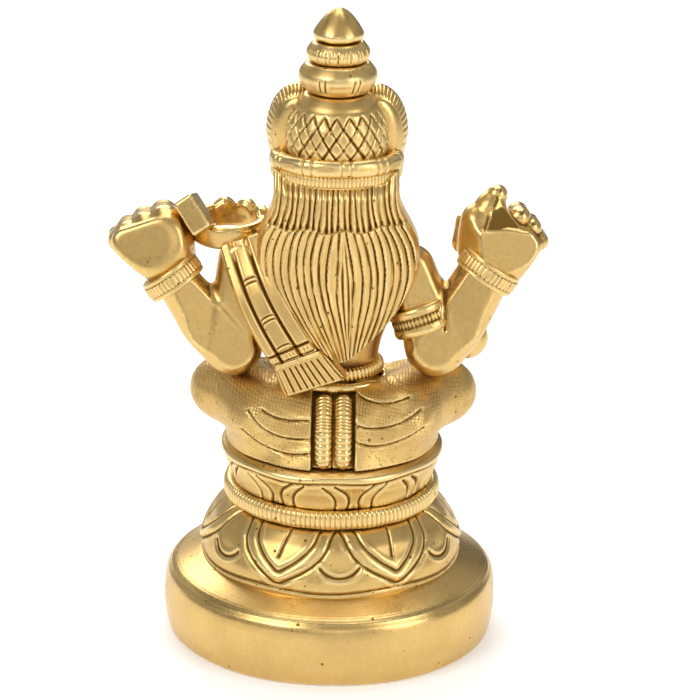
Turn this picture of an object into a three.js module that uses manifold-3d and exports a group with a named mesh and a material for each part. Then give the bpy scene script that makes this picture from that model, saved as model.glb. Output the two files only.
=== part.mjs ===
// Seated four-armed Ganesha idol in polished brass, on a round plinth with a double lotus seat.
// Millimetres, +Z up. The figure faces -Y, its left side is +X, and the origin is the centre of the
// plinth's flat underside.
import * as THREE from 'three';
import { mergeVertices } from 'three/addons/utils/BufferGeometryUtils.js';
import Module from 'manifold-3d';

const wasm = await Module();
wasm.setup();

// Driving dimensions.
const TOTAL_HEIGHT = 126.8;
const PLINTH_RADIUS = 32.2; // at the table
const PLINTH_BULGE = 33.0; // the wall swells a little at mid height
const PLINTH_SHOULDER = 31.0;
const PLINTH_HEIGHT = 14.0;
const LOTUS_RADIUS = 26.6; // lip of the down-turned lotus
const LOTUS_TOP = 28.0;
const LOTUS_PETALS = 6;
const ROPE_RADIUS = 20.5;
const ROPE_THICKNESS = 1.7; // half the rope's diameter
const SEAT_RADIUS = 22.0;
const SEAT_TOP = 40.0;
const SEAT_PETALS = 9;
const KNEE_SPAN = 57.0;
const WAIST_HALF_WIDTH = 8.8;
const CROWN_Y = 2.0; // the crown's axis stands this far behind the plinth's axis
const CROWN_TILT = THREE.MathUtils.degToRad(9); // the head bands rise towards the back
const SASH_THICKNESS = 3.0;
const GAP = 0.3; // clearance between neighbouring pieces
const MERGE_DISTANCE = 1e-3; // vertices closer than this are one vertex

const Z_AXIS = new THREE.Vector3(0, 0, 1);
const Y_AXIS = new THREE.Vector3(0, 1, 0);
const at = (x, y, z) => new THREE.Vector3(x, y, z);
const mirrored = (points) => points.map((p) => at(-p.x, p.y, p.z));

// ---------------------------------------------------------------- solids

// Turns a closed three.js geometry into a manifold solid, whichever way its faces were wound.
function solidOf(geometry) {
  const bare = new THREE.BufferGeometry();
  bare.setAttribute('position', geometry.getAttribute('position').clone());
  if (geometry.index) bare.setIndex(geometry.index.clone());
  const merged = mergeVertices(bare, MERGE_DISTANCE);
  const indices = Uint32Array.from(merged.index.array);
  const triangles = [];
  for (let i = 0; i < indices.length; i += 3) {
    const [a, b, c] = indices.subarray(i, i + 3);
    if (a !== b && b !== c && c !== a) triangles.push(a, b, c);
  }
  const build = (order) => new wasm.Manifold(new wasm.Mesh({
    numProp: 3,
    vertProperties: Float32Array.from(merged.attributes.position.array),
    triVerts: Uint32Array.from(order),
  }));
  const made = build(triangles);
  return made.volume() > 0 ? made : build(triangles.reverse());
}

// The geometry of a manifold solid.
function geometryOf(solid) {
  const mesh = solid.getMesh();
  const geometry = new THREE.BufferGeometry();
  geometry.setAttribute('position', new THREE.BufferAttribute(mesh.vertProperties, 3));
  geometry.setIndex(new THREE.BufferAttribute(mesh.triVerts, 1));
  geometry.computeVertexNormals();
  return geometry;
}

// A copy of a solid with every vertex pushed outwards, used to keep a gap around it.
function grown(solid, distance) {
  const geometry = geometryOf(solid);
  const position = geometry.getAttribute('position');
  const normal = geometry.getAttribute('normal');
  for (let i = 0; i < position.count; i += 1) {
    position.setXYZ(
      i,
      position.getX(i) + normal.getX(i) * distance,
      position.getY(i) + normal.getY(i) * distance,
      position.getZ(i) + normal.getZ(i) * distance,
    );
  }
  return solidOf(geometry);
}

// Keeps the largest connected body of a solid and drops the slivers that a cut can leave.
function mainBody(solid) {
  const mesh = solid.getMesh();
  const leader = Array.from({ length: mesh.numVert }, (unused, i) => i);
  const find = (i) => {
    while (leader[i] !== i) i = leader[i];
    return i;
  };
  const triangles = [];
  for (let i = 0; i < mesh.triVerts.length; i += 3) triangles.push(mesh.triVerts.slice(i, i + 3));
  for (const [a, b, c] of triangles) {
    const root = find(a);
    leader[find(b)] = root;
    leader[find(c)] = root;
  }
  const bodies = new Map();
  for (const triangle of triangles) {
    const root = find(triangle[0]);
    if (!bodies.has(root)) bodies.set(root, []);
    bodies.get(root).push(triangle);
  }
  if (bodies.size === 1) return solid;
  const largest = [...bodies.values()].sort((p, q) => q.length - p.length)[0];
  const geometry = new THREE.BufferGeometry();
  geometry.setAttribute('position', new THREE.BufferAttribute(mesh.vertProperties, 3));
  geometry.setIndex(largest.flatMap((triangle) => [...triangle]));
  return solidOf(geometry.toNonIndexed());
}

const joined = (...solids) => solids.reduce((sum, next) => sum.add(next));

// ---------------------------------------------------------------- shapes

// Moves every vertex of a geometry to where `place` puts it.
function warped(geometry, place) {
  const position = geometry.getAttribute('position');
  const point = new THREE.Vector3();
  for (let i = 0; i < position.count; i += 1) {
    const moved = place(point.fromBufferAttribute(position, i));
    position.setXYZ(i, moved.x, moved.y, moved.z);
  }
  return geometry;
}

// A body turned about the Z axis from [radius, height] pairs that start and end on the axis.
function turned(profile, segments = 28) {
  const points = profile.map(([radius, height]) => new THREE.Vector2(radius, height));
  return new THREE.LatheGeometry(points, segments).rotateX(Math.PI / 2);
}

// A round-ended limb along a curve, with a radius at each of its points.
// `flat` squashes it along `up`, which is a direction across the limb.
function limb(points, radii, { up = Y_AXIS, flat = 1, around = 8, along = 3 } = {}) {
  const curve = new THREE.CatmullRomCurve3(points);
  const last = points.length - 1;
  const radiusAt = (t) => {
    const step = Math.min(Math.floor(t * last), last - 1);
    return THREE.MathUtils.lerp(radii[step], radii[step + 1], t * last - step);
  };
  const capsule = new THREE.CapsuleGeometry(1, 1, 2, around, along);
  return solidOf(warped(capsule, (p) => {
    const t = THREE.MathUtils.clamp(p.y + 0.5, 0, 1);
    const beyond = p.y + 0.5 - t;
    const tangent = curve.getTangent(t);
    const across = tangent.clone().cross(up).normalize();
    const raised = across.clone().cross(tangent);
    const radius = radiusAt(t);
    return curve.getPoint(t)
      .addScaledVector(tangent, beyond * radius)
      .addScaledVector(across, p.x * radius)
      .addScaledVector(raised, p.z * radius * flat);
  }));
}

// An ellipsoid.
function blob(centre, radii, turn = [0, 0, 0], around = 8, rows = 6) {
  const sphere = new THREE.SphereGeometry(1, around, rows);
  sphere.scale(radii.x, radii.y, radii.z);
  sphere.rotateX(turn[0]).rotateY(turn[1]).rotateZ(turn[2]);
  return solidOf(sphere.translate(centre.x, centre.y, centre.z));
}

// A ring of round section about an axis.
function ring(centre, axis, radius, thickness, { squash = 1, sides = 6, segments = 16 } = {}) {
  const torus = new THREE.TorusGeometry(radius, thickness, sides, segments);
  torus.scale(1, squash, 1);
  torus.applyQuaternion(new THREE.Quaternion().setFromUnitVectors(Z_AXIS, axis.clone().normalize()));
  return solidOf(torus.translate(centre.x, centre.y, centre.z));
}

// A slab bent over a surface: `back(s, t)` gives the middle of its outer face for s across (-1 to 1)
// and t along (0 to 1), and the slab is `thickness` deep towards the figure's front.
function slab(back, thickness, across, along) {
  const box = new THREE.BoxGeometry(2, 1, 1, across, 1, along);
  return solidOf(warped(box, (p) => {
    const outer = back(p.x, 0.5 - p.z);
    return outer.add(at(0, p.y > 0 ? 0 : -thickness, 0));
  }));
}

const block = (size, centre) => solidOf(
  new THREE.BoxGeometry(size.x, size.y, size.z).translate(centre.x, centre.y, centre.z),
);

// ---------------------------------------------------------------- materials

const brass = (color, roughness) => new THREE.MeshStandardMaterial({ color, roughness, metalness: 1 });
const polished = brass('#d9b25c', 0.18);
const engraved = brass('#c79f4c', 0.3);
const textured = brass('#c2a05a', 0.42);

// ---------------------------------------------------------------- assembly

const idol = new THREE.Group();
const pieces = [];

// Adds a piece to the idol. Pieces that came before keep their shape, and the new one is cut back
// from each of them by the gap.
function place(name, solid, material) {
  let shape = solid;
  const box = new THREE.Box3();
  const reach = (piece) => box.setFromBufferAttribute(geometryOf(piece).getAttribute('position'));
  const own = reach(shape).clone();
  for (const piece of pieces) {
    if (own.intersectsBox(piece.reach)) shape = shape.subtract(piece.clearance);
  }
  shape = mainBody(shape);
  const clearance = grown(shape, GAP * 1.3);
  pieces.push({ clearance, reach: reach(clearance).clone() });
  const mesh = new THREE.Mesh(geometryOf(shape), material);
  mesh.name = name;
  idol.add(mesh);
}

// The left and right versions of a piece: `make` gets 1 for the figure's left and -1 for its right.
function placePair(name, make, material) {
  place(`left_${name}`, make(1), material);
  place(`right_${name}`, make(-1), material);
}

const handed = (side, points) => (side > 0 ? points : mirrored(points));

// ---------------------------------------------------------------- plinth and lotus seat

function plinth() {
  const wall = new THREE.SplineCurve([
    new THREE.Vector2(PLINTH_RADIUS, 0),
    new THREE.Vector2(PLINTH_BULGE - 0.15, 3.5),
    new THREE.Vector2(PLINTH_BULGE, PLINTH_HEIGHT * 0.55),
    new THREE.Vector2(PLINTH_BULGE - 0.6, PLINTH_HEIGHT - 2),
    new THREE.Vector2(PLINTH_SHOULDER, PLINTH_HEIGHT - 0.1),
  ]).getPoints(5).map((p) => [p.x, p.y]);
  return solidOf(turned([[0, 0], ...wall, [PLINTH_SHOULDER - 2, PLINTH_HEIGHT], [0, PLINTH_HEIGHT]], 36));
}

// The bell of the down-turned lotus. Its big petals stand out from the wall, widest at the lip.
function lowerLotus() {
  const foot = PLINTH_HEIGHT + GAP;
  const profile = [
    [0, foot], [24.0, foot], [25.2, 15.5], [LOTUS_RADIUS - 0.8, 17.0], [25.5, 19.2],
    [24.4, 22.2], [22.6, 25.0], [20.4, 27.1], [18.8, LOTUS_TOP], [0, LOTUS_TOP],
  ];
  const pitch = Math.PI * 2 / LOTUS_PETALS;
  return solidOf(warped(turned(profile, LOTUS_PETALS * 6), (p) => {
    const angle = Math.atan2(p.y, p.x);
    const offCentre = Math.abs(angle / pitch - Math.round(angle / pitch)) * 2;
    const onWall = p.z > foot + 1 && p.z < LOTUS_TOP - 0.5;
    const lift = onWall ? 0.8 * (1 - offCentre ** 2) : 0;
    const radius = Math.hypot(p.x, p.y) || 1;
    return at(p.x * (1 + lift / radius), p.y * (1 + lift / radius), p.z);
  }));
}

function upperLotus() {
  const profile = [
    [0, LOTUS_TOP + GAP], [18.2, LOTUS_TOP + GAP], [18.2, 31.8], [19.5, 32.1], [19.9, 33.8],
    [20.8, 36.0], [SEAT_RADIUS, 38.2], [21.5, 39.4], [20.4, SEAT_TOP], [0, SEAT_TOP],
  ];
  return solidOf(warped(turned(profile, SEAT_PETALS * 4), (p) => {
    const angle = Math.atan2(p.x, p.y);
    const wall = p.z > 32 && p.z < 37 ? 0.45 : 0;
    const lift = 1 + wall * Math.cos(angle * SEAT_PETALS) / SEAT_RADIUS;
    return at(p.x * lift, p.y * lift, p.z);
  }));
}

place('base_plinth', plinth(), polished);
place('lower_lotus', lowerLotus(), engraved);
place(
  'rope_ring',
  ring(at(0, 0, 30), Z_AXIS, ROPE_RADIUS, ROPE_THICKNESS, { segments: 36 }),
  engraved,
);
place('upper_lotus', upperLotus(), engraved);

// ---------------------------------------------------------------- trunk of the body

function torso() {
  const waist = WAIST_HALF_WIDTH;
  const body = warped(turned([
    [0, 49], [waist, 49], [waist + 0.3, 53], [waist - 0.2, 58], [waist + 0.6, 62], [11.4, 67],
    [13.4, 72], [14.2, 76], [13.0, 80.5], [9.8, 84.5], [7.4, 88], [6.8, 91], [0, 91],
  ], 16), (p) => at(p.x, 2.5 + p.y * 0.6, p.z));
  return joined(
    solidOf(body),
    blob(at(0, -5.5, 60), at(9.3, 9.5, 9.6), [0, 0, 0], 12, 8),
    blob(at(0, -2.5, 75), at(12, 6, 7)),
  );
}

function legOutline(side) {
  const span = KNEE_SPAN / 2;
  const rise = side > 0 ? 0.8 : 0;
  const thigh = limb(
    handed(side, [at(0, 9.5, 46.8), at(12, 8.2, 47.8), at(span - 8.2, -2, 49.2), at(15, -10.5, 46.4)]),
    [8.2, 8.3, 7.4, 6.0],
    { up: Z_AXIS, flat: 0.86, around: 10, along: 6 },
  );
  const shin = limb(
    handed(side, [at(16, -10, 46), at(8, -15, 44.8 + rise), at(-3, -16.4, 44.2 + rise)]),
    [5.8, 4.6, 3.4],
    { up: Z_AXIS },
  );
  const below = block(at(80, 80, 20), at(0, 0, SEAT_TOP + GAP - 10));
  const otherSide = block(at(20, 24, 40), at(-side * 10 + side * GAP / 2, 11, 46));
  return joined(thigh, shin).subtract(below).subtract(otherSide);
}

// The waist's rings follow the body's oval section.
const waistRing = (height, radius, thickness) => ring(
  at(0, 2.8, height),
  Z_AXIS,
  radius,
  thickness,
  { squash: 0.84, segments: 20 },
);

const girdleCord = (x) => limb(
  [at(x, 12.2, 52.6), at(x, 15.4, 49.6), at(x, 17.4, 46), at(x, 18.2, 42.2)],
  [1.5, 1.5, 1.5, 1.5],
  { around: 8, along: 4 },
);

function foot(side) {
  const height = side > 0 ? 45.2 : 43.6;
  const sole = blob(at(-side * 10.5, -17.2, height), at(5.6, 2.6, 2.5), [0, 0, side * 0.25]);
  const toes = [];
  for (let i = 0; i < 5; i += 1) {
    const toe = at(-side * (14.8 - i * 0.25), -16.2 - i * 0.9, height + 1.2 - i * 0.8);
    toes.push(blob(toe, at(1.5, 0.75, 0.7), [0, 0, 0], 5, 4));
  }
  return joined(sole, ...toes);
}

place('torso', torso(), polished);
place('waist_band', waistRing(53.9, 10.0, 1.1), polished);
place('girdle_roll', waistRing(56.2, 8.9, 1.0), engraved);
place('girdle_cord_left', girdleCord(1.65), engraved);
place('girdle_cord_right', girdleCord(-2.1), engraved);
place('left_foot', foot(1), polished);
place('right_foot', foot(-1), polished);
placePair('leg', legOutline, textured);

// ---------------------------------------------------------------- head, hair and crown

function head() {
  return joined(
    blob(at(0, -1.5, 92.6), at(9.8, 9.6, 9.0), [0, 0, 0], 12, 7),
    blob(at(3.4, -7.0, 94.4), at(4.4, 4.2, 4.4)),
    blob(at(-3.4, -7.0, 94.4), at(4.4, 4.2, 4.4)),
    blob(at(0, -8.4, 90.0), at(6.0, 4.6, 6.0)),
    blob(at(0, -8.2, 83.8), at(3.6, 2.6, 2.6)),
  );
}

const trunk = () => limb(
  [at(0, -11.4, 90.4), at(0, -15.2, 84.8), at(0.4, -17.0, 78), at(3.2, -18.4, 71.6), at(8.4, -19.4, 68.2),
    at(12.4, -19.2, 70.4)],
  [4.4, 4.0, 3.5, 3.0, 2.4, 1.7],
  { around: 8, along: 10 },
);

const tusk = (side) => limb(
  handed(side, [at(4.4, -10.6, 86.6), at(5.4, -14.0, 84.8), at(6.0, -17.0, 85.0)]),
  side > 0 ? [1.3, 1.1, 0.5] : [1.3, 1.2, 0.9],
  { around: 6, along: 2 },
);

// A fan ear, a little cupped forwards, broad above and narrowing to its lobe.
const ear = (side) => solidOf(warped(new THREE.SphereGeometry(1, 12, 8), (p) => {
  const lobe = Math.min(p.z, 0);
  const x = 7.4 + p.x * 6.3 + lobe * 1.7;
  const cup = 0.05 * (x - 7) ** 2;
  return at(side * x, -2.6 + p.y * 1.7 - cup, 101.6 + p.z * 10.2 + lobe * 3.8);
}));

// A band round the head, tilted up towards the back.
function headBand(height, radius, thickness) {
  const axis = at(0, -Math.sin(CROWN_TILT), Math.cos(CROWN_TILT));
  return ring(at(0, 1.2, height), axis, radius, thickness, { squash: 0.95, segments: 22 });
}

function crownTurn(profile) {
  return solidOf(turned(profile, 20).translate(0, CROWN_Y, 0));
}

const crownDome = () => crownTurn([
  [0, 98.2], [9.4, 98.2], [10.0, 101.5], [9.6, 105.5], [8.2, 109.2], [6.2, 110.9], [0, 110.9],
]);
const crownRingLower = () => crownTurn([
  [0, 111.2], [6.6, 111.2], [7.6, 113.0], [7.5, 115.2], [6.2, 116.9], [0, 116.9],
]);
const crownRingUpper = () => crownTurn([
  [0, 117.2], [5.4, 117.2], [6.2, 118.8], [4.9, 120.9], [0, 120.9],
]);
const crownFinial = () => crownTurn([
  [0, 121.2], [3.9, 121.2], [4.9, 121.8], [4.4, 123.4], [2.6, 125.6], [1.0, 126.6], [0, TOTAL_HEIGHT],
]);

// Long hair falling over the back from the nape to a point between the shoulder blades and waist.
function hair() {
  const halfWidth = (t) => {
    const upper = THREE.MathUtils.lerp(12.0, 15.6, THREE.MathUtils.smoothstep(t, 0.15, 0.42));
    const lower = Math.max(0, (t - 0.42) / 0.58);
    return upper * (1 - lower ** 1.75) + 0.9 * lower;
  };
  return slab((s, t) => {
    const x = s * halfWidth(t) - 1.6 * t;
    return at(x, 13.4 + 0.7 * Math.sin(Math.PI * t) - 0.022 * x * x, THREE.MathUtils.lerp(94, 60, t));
  }, 5, 6, 9);
}

place('head', head(), polished);
place('trunk', trunk(), polished);
placePair('tusk', tusk, polished);
place('crown_dome', crownDome(), engraved);
place('crown_ring_lower', crownRingLower(), engraved);
place('crown_ring_upper', crownRingUpper(), engraved);
place('crown_finial', crownFinial(), polished);
place('crown_band', headBand(97.4, 11.3, 1.7), engraved);
place('nape_band', headBand(94.4, 11.4, 1.3).subtract(block(at(30, 12, 20), at(0, -8, 94))), engraved);
placePair('ear', ear, polished);

// ---------------------------------------------------------------- arms

// The two rear arms: an upper arm down to the elbow and a forearm raised outwards.
const REAR_SHOULDER = { left: at(17.6, 2.6, 77.0), right: at(-14.6, 2.8, 75.8) };
const REAR_ELBOW = { left: at(21.1, 5.6, 59.6), right: at(-20.0, 5.6, 61.0) };
const REAR_WRIST = { left: at(31.3, 4.0, 73.8), right: at(-29.6, 4.0, 76.2) };
const FRONT_ELBOW = { left: at(20.6, -3.4, 64.4), right: at(-26.0, -3.2, 60.0) };
const FRONT_WRIST = { left: at(15.4, -13.6, 61.6), right: at(-18.2, -14.4, 60.2) };

const rearArm = (side) => joined(
  limb([REAR_SHOULDER[side], REAR_ELBOW[side]], [5.0, 5.2], { along: 2 }),
  limb([REAR_ELBOW[side], REAR_WRIST[side]], side === 'left' ? [4.8, 4.9] : [5.8, 5.1], { along: 2 }),
);

const frontArm = (side) => joined(
  limb([REAR_SHOULDER[side].clone().add(at(0, -3.4, -2)), FRONT_ELBOW[side]], [4.2, 4.0], { along: 2 }),
  limb([FRONT_ELBOW[side], FRONT_WRIST[side]], [4.0, 3.1], { up: Z_AXIS, along: 2 }),
);

function bracelet(from, wrist, radius, thickness) {
  const axis = wrist.clone().sub(from).normalize();
  return ring(wrist, axis, radius, thickness, { segments: 14 });
}

// Left rear hand: a fist with its back to the rear and four knuckles along its upper edge.
function leftRearHand() {
  const knuckles = [at(41.4, 0, 82.0), at(39.0, 0, 84.6), at(35.8, 0, 86.4), at(32.2, 0, 87.2)];
  const fingers = knuckles.map((k) => limb(
    [k.clone().add(at(-1.6, 2.4, -2.6)), k, k.clone().add(at(-0.6, -3.4, -2.4))],
    [1.9, 1.9, 1.7],
    { up: at(0.7, 0, 0.7), around: 6, along: 3 },
  ));
  return joined(blob(at(35.9, 3.0, 79.9), at(8.8, 4.7, 7.6)), ...fingers);
}

// Right rear hand: the index finger points up and the other three fingers are curled.
function rightRearHand() {
  const knuckles = [at(-34.8, 0.6, 86.0), at(-37.0, 0.6, 83.8), at(-38.4, 0.6, 81.0)];
  const fingers = knuckles.map((k) => limb(
    [k.clone().add(at(1.6, 2.4, -2.6)), k, k.clone().add(at(0.8, -3.4, -2.4))],
    [1.9, 1.8, 1.6],
    { up: at(-0.7, 0, 0.7), around: 6, along: 3 },
  ));
  return joined(
    blob(at(-32.6, 3.2, 80.4), at(8.0, 4.4, 6.0), [0, 0.35, 0]),
    blob(at(-26.8, 2.2, 82.2), at(3.8, 4.2, 6.4), [0, 0.2, 0]),
    limb([at(-27.6, 1.2, 84.4), at(-29.6, 0.8, 88.2), at(-31.2, 0.6, 90.8)], [2.9, 2.4, 1.7], { around: 10 }),
    ...fingers,
  );
}

// Lower left hand: an open palm that carries the bowl of sweets.
function leftFrontHand() {
  const palm = blob(at(13.2, -17.0, 61.2), at(3.8, 4.2, 1.9));
  const fingers = [-1.8, -0.6, 0.6, 1.8].map((offset) => limb(
    [at(13.2 + offset * 1.3, -18.4, 61.0), at(13.0 + offset * 1.4, -22.2, 61.8)],
    [1.0, 0.8],
    { up: Z_AXIS, around: 6, along: 1 },
  ));
  return joined(palm, ...fingers);
}

// Lower right hand: raised in blessing, palm to the front.
function rightFrontHand() {
  const palm = blob(at(-17.2, -17.2, 62.6), at(3.6, 1.9, 4.0));
  const fingers = [-1.8, -0.6, 0.6, 1.8].map((offset) => limb(
    [at(-17.2 + offset * 1.25, -17.4, 64.4), at(-17.2 + offset * 1.3, -17.8, 68.6 - offset * offset * 0.2)],
    [1.0, 0.8],
    { around: 6, along: 1 },
  ));
  const thumb = limb([at(-14.4, -17.4, 62.0), at(-13.0, -18.0, 65.0)], [1.1, 0.8], { around: 6, along: 1 });
  return joined(palm, ...fingers, thumb);
}

place('left_rear_arm', rearArm('left'), polished);
place('right_rear_arm', rearArm('right'), polished);
place('left_front_arm', frontArm('left'), polished);
place('right_front_arm', frontArm('right'), polished);
place('left_rear_bracelet', bracelet(REAR_ELBOW.left, REAR_WRIST.left, 4.75, 1.2), engraved);
place('right_rear_bracelet', bracelet(REAR_ELBOW.right, REAR_WRIST.right, 4.9, 1.4), engraved);
place('left_front_bracelet', bracelet(FRONT_ELBOW.left, FRONT_WRIST.left, 3.1, 0.9), engraved);
place('right_front_bracelet', bracelet(FRONT_ELBOW.right, FRONT_WRIST.right, 3.1, 0.9), engraved);
place(
  'right_armlet',
  bracelet(REAR_SHOULDER.right, REAR_SHOULDER.right.clone().lerp(REAR_ELBOW.right, 0.5), 5.2, 1.0),
  engraved,
);
place(
  'emblem_handle',
  solidOf(new THREE.BoxGeometry(4.8, 4.8, 9).rotateZ(0.5).rotateX(-1.05).rotateZ(0.6).translate(28.4, 2.0, 85.2)),
  polished,
);
place('left_rear_hand', leftRearHand(), polished);
place('right_rear_hand', rightRearHand(), polished);
place('left_front_hand', leftFrontHand(), polished);
place('right_front_hand', rightFrontHand(), polished);
place(
  'noose',
  ring(at(20.8, -3.4, 79.8), at(0, 0.34, 0.94), 5.8, 2.3, { squash: 0.95 }),
  engraved,
);
place(
  'sweet_bowl',
  solidOf(turned([
    [0, 63.2], [2.4, 63.2], [4.0, 64.6], [4.6, 66.6], [3.9, 66.6], [3.2, 65.2], [0, 64.6],
  ], 12).translate(13.2, -16.8, 0)),
  polished,
);
place(
  'sweets',
  joined(
    blob(at(12.2, -16.0, 66.6), at(1.7, 1.7, 1.7)),
    blob(at(14.6, -16.2, 66.6), at(1.7, 1.7, 1.7)),
    blob(at(13.2, -18.2, 66.6), at(1.7, 1.7, 1.7)),
  ),
  polished,
);

// ---------------------------------------------------------------- hair and sash

// The sash's centre line over the left shoulder blade, from t = 0 at the shoulder to t = 1 at the hem.
const sashLine = new THREE.CatmullRomCurve3([
  at(18.2, 4.6, 81.6), at(15.6, 10.6, 75.2), at(11.8, 12.9, 68.2), at(7.8, 14.0, 62.2), at(3.6, 14.6, 55.8),
]);
const SASH_FRINGE_START = 0.78;

function sashPart(from, to) {
  return slab((s, t) => {
    const place = from + (to - from) * t;
    const centre = sashLine.getPoint(place);
    const along = sashLine.getTangent(place);
    const across = along.clone().cross(Y_AXIS).normalize();
    const flare = Math.max(0, place - SASH_FRINGE_START) / (1 - SASH_FRINGE_START);
    const halfWidth = THREE.MathUtils.lerp(4.0, 5.0, place) + 1.2 * flare;
    return centre.addScaledVector(across, s * halfWidth).add(at(0, -0.35 * s * s, 0));
  }, SASH_THICKNESS, 4, 7);
}

place('shoulder_sash', sashPart(0, SASH_FRINGE_START - 0.015), engraved);
place('sash_fringe', sashPart(SASH_FRINGE_START + 0.015, 1), engraved);
place('hair', hair(), engraved);

export default idol;
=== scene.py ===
# Looks of the seated brass idol: every piece is modelled over its CAD node, in the CAD frame.
# Shapes are worked out in millimetres and written to the meshes in metres.
import math
import bpy
import numpy as np
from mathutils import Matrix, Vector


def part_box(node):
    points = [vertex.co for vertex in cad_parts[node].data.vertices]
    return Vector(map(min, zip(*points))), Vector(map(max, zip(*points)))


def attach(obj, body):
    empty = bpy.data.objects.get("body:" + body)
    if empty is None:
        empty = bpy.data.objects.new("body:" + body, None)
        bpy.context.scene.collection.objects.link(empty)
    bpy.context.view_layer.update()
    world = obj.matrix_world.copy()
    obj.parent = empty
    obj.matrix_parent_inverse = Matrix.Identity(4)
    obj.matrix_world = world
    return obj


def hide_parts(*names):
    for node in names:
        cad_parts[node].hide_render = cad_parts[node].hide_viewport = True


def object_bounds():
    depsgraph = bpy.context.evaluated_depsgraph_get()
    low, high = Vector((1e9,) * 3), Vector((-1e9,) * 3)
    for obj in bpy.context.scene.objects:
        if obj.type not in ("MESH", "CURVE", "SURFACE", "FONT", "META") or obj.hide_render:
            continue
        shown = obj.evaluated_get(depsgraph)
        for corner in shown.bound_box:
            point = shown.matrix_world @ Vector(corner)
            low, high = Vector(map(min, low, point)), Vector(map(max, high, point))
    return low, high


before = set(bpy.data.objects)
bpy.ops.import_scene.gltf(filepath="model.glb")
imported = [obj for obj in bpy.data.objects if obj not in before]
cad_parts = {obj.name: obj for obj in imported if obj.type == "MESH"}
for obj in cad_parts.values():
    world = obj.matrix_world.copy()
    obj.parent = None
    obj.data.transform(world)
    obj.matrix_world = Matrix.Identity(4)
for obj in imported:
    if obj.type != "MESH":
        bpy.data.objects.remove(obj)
cad_low, cad_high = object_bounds()

MM = 0.001
TAU = 2 * math.pi
COARSE = 1.0


def box(node):
    low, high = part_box(node)
    return np.array(low) / MM, np.array(high) / MM


def at(node, fx, fy, fz):
    """The point at these fractions of a CAD node's box."""
    low, high = box(node)
    return low + (high - low) * np.array([fx, fy, fz])


def marker(node):
    """`at` for one node."""
    return lambda fx, fy, fz: at(node, fx, fy, fz)


def clamp(x):
    return np.clip(x, 0, 1)


def smoothstep(x, low, high):
    t = clamp((x - low) / (high - low))
    return t * t * (3 - 2 * t)


def hump(x, width):
    """A smooth bump, 1 high at x = 0."""
    return np.exp(-(x / width) ** 2)


def off_whole(x):
    """How far x is from the nearest whole number: 0 on each line of an evenly spaced set."""
    return np.abs((x + 0.5) % 1 - 0.5)


# ---------------------------------------------------------------- mesh helpers


def edges_of(faces):
    a = faces.ravel()
    b = np.roll(faces, -1, axis=1).ravel()
    keep = a != b
    return a[keep], b[keep]


def neighbour_mean(values, a, b, count):
    total = np.empty_like(values)
    n = np.bincount(a, minlength=count) + np.bincount(b, minlength=count)
    for k in range(values.shape[1]):
        total[:, k] = np.bincount(a, values[b, k], count) + np.bincount(b, values[a, k], count)
    return total / np.maximum(n, 1)[:, None]


def vertex_normals(points, faces):
    p = points[faces]
    cross = np.cross(p[:, 2] - p[:, 0], p[:, 3] - p[:, 1])
    normal = np.zeros_like(points)
    for corner in range(4):
        for k in range(3):
            normal[:, k] += np.bincount(faces[:, corner], cross[:, k], len(points))
    return normal / np.maximum(np.linalg.norm(normal, axis=1), 1e-12)[:, None]


def relief_of(points, faces, reach=0.8):
    """How deep each point lies below its smoothed surroundings, in mm: grooves positive, ridges negative."""
    a, b = edges_of(faces)
    length = np.linalg.norm(points[a] - points[b], axis=1).mean()
    smooth = points.copy()
    for _ in range(int(np.clip((reach / length) ** 2, 2, 40))):
        smooth = 0.5 * smooth + 0.5 * neighbour_mean(smooth, a, b, len(points))
    return np.einsum("ij,ij->i", smooth - points, vertex_normals(points, faces))


def add_piece(name, shape, slot, nodes, extra_darkening=None):
    """Makes a smooth-shaded mesh from mm points and four-cornered faces (a triangle repeats a corner)."""
    points, faces = shape[0], outwards(*shape)
    relief = relief_of(points, faces)
    # Extra darkening, such as a painted dark reflection, is added to the relief.
    if extra_darkening is not None:
        relief = relief + extra_darkening
    mesh = bpy.data.meshes.new(name)
    counts = np.full(len(faces), 4)
    triangle = faces[:, 3] == faces[:, 0]
    counts[triangle] = 3
    flat = faces.ravel()
    if triangle.any():
        use = np.ones(faces.shape, bool)
        use[triangle, 3] = False
        flat = faces[use]
    mesh.vertices.add(len(points))
    mesh.vertices.foreach_set("co", (points * MM).astype(np.float32).ravel())
    mesh.loops.add(len(flat))
    mesh.loops.foreach_set("vertex_index", flat.astype(np.int32))
    mesh.polygons.add(len(faces))
    starts = np.concatenate([[0], np.cumsum(counts)[:-1]])
    mesh.polygons.foreach_set("loop_start", starts.astype(np.int32))
    mesh.polygons.foreach_set("loop_total", counts.astype(np.int32))
    mesh.polygons.foreach_set("use_smooth", np.ones(len(faces), bool))
    mesh.update(calc_edges=True)
    mesh.validate()
    layer = mesh.attributes.new("relief", "FLOAT", "POINT")
    layer.data.foreach_set("value", relief.astype(np.float32))
    piece = show(name, mesh)
    mesh.materials.append(MATERIALS[slot])
    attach(piece, "root")
    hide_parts(*nodes)
    return piece


def lattice(points, wrap_u=False, wrap_v=False):
    """Faces of a (u, v) grid of points, and the points as a list."""
    nu, nv = points.shape[:2]
    index = np.arange(nu * nv).reshape(nu, nv)
    a = index if wrap_u else index[:-1]
    b = np.roll(index, -1, 0) if wrap_u else index[1:]
    if wrap_v:
        quads = [a, b, np.roll(b, -1, 1), np.roll(a, -1, 1)]
    else:
        quads = [a[:, :-1], b[:, :-1], b[:, 1:], a[:, 1:]]
    faces = np.stack([q.ravel() for q in quads], 1)
    return points.reshape(-1, 3), faces


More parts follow.
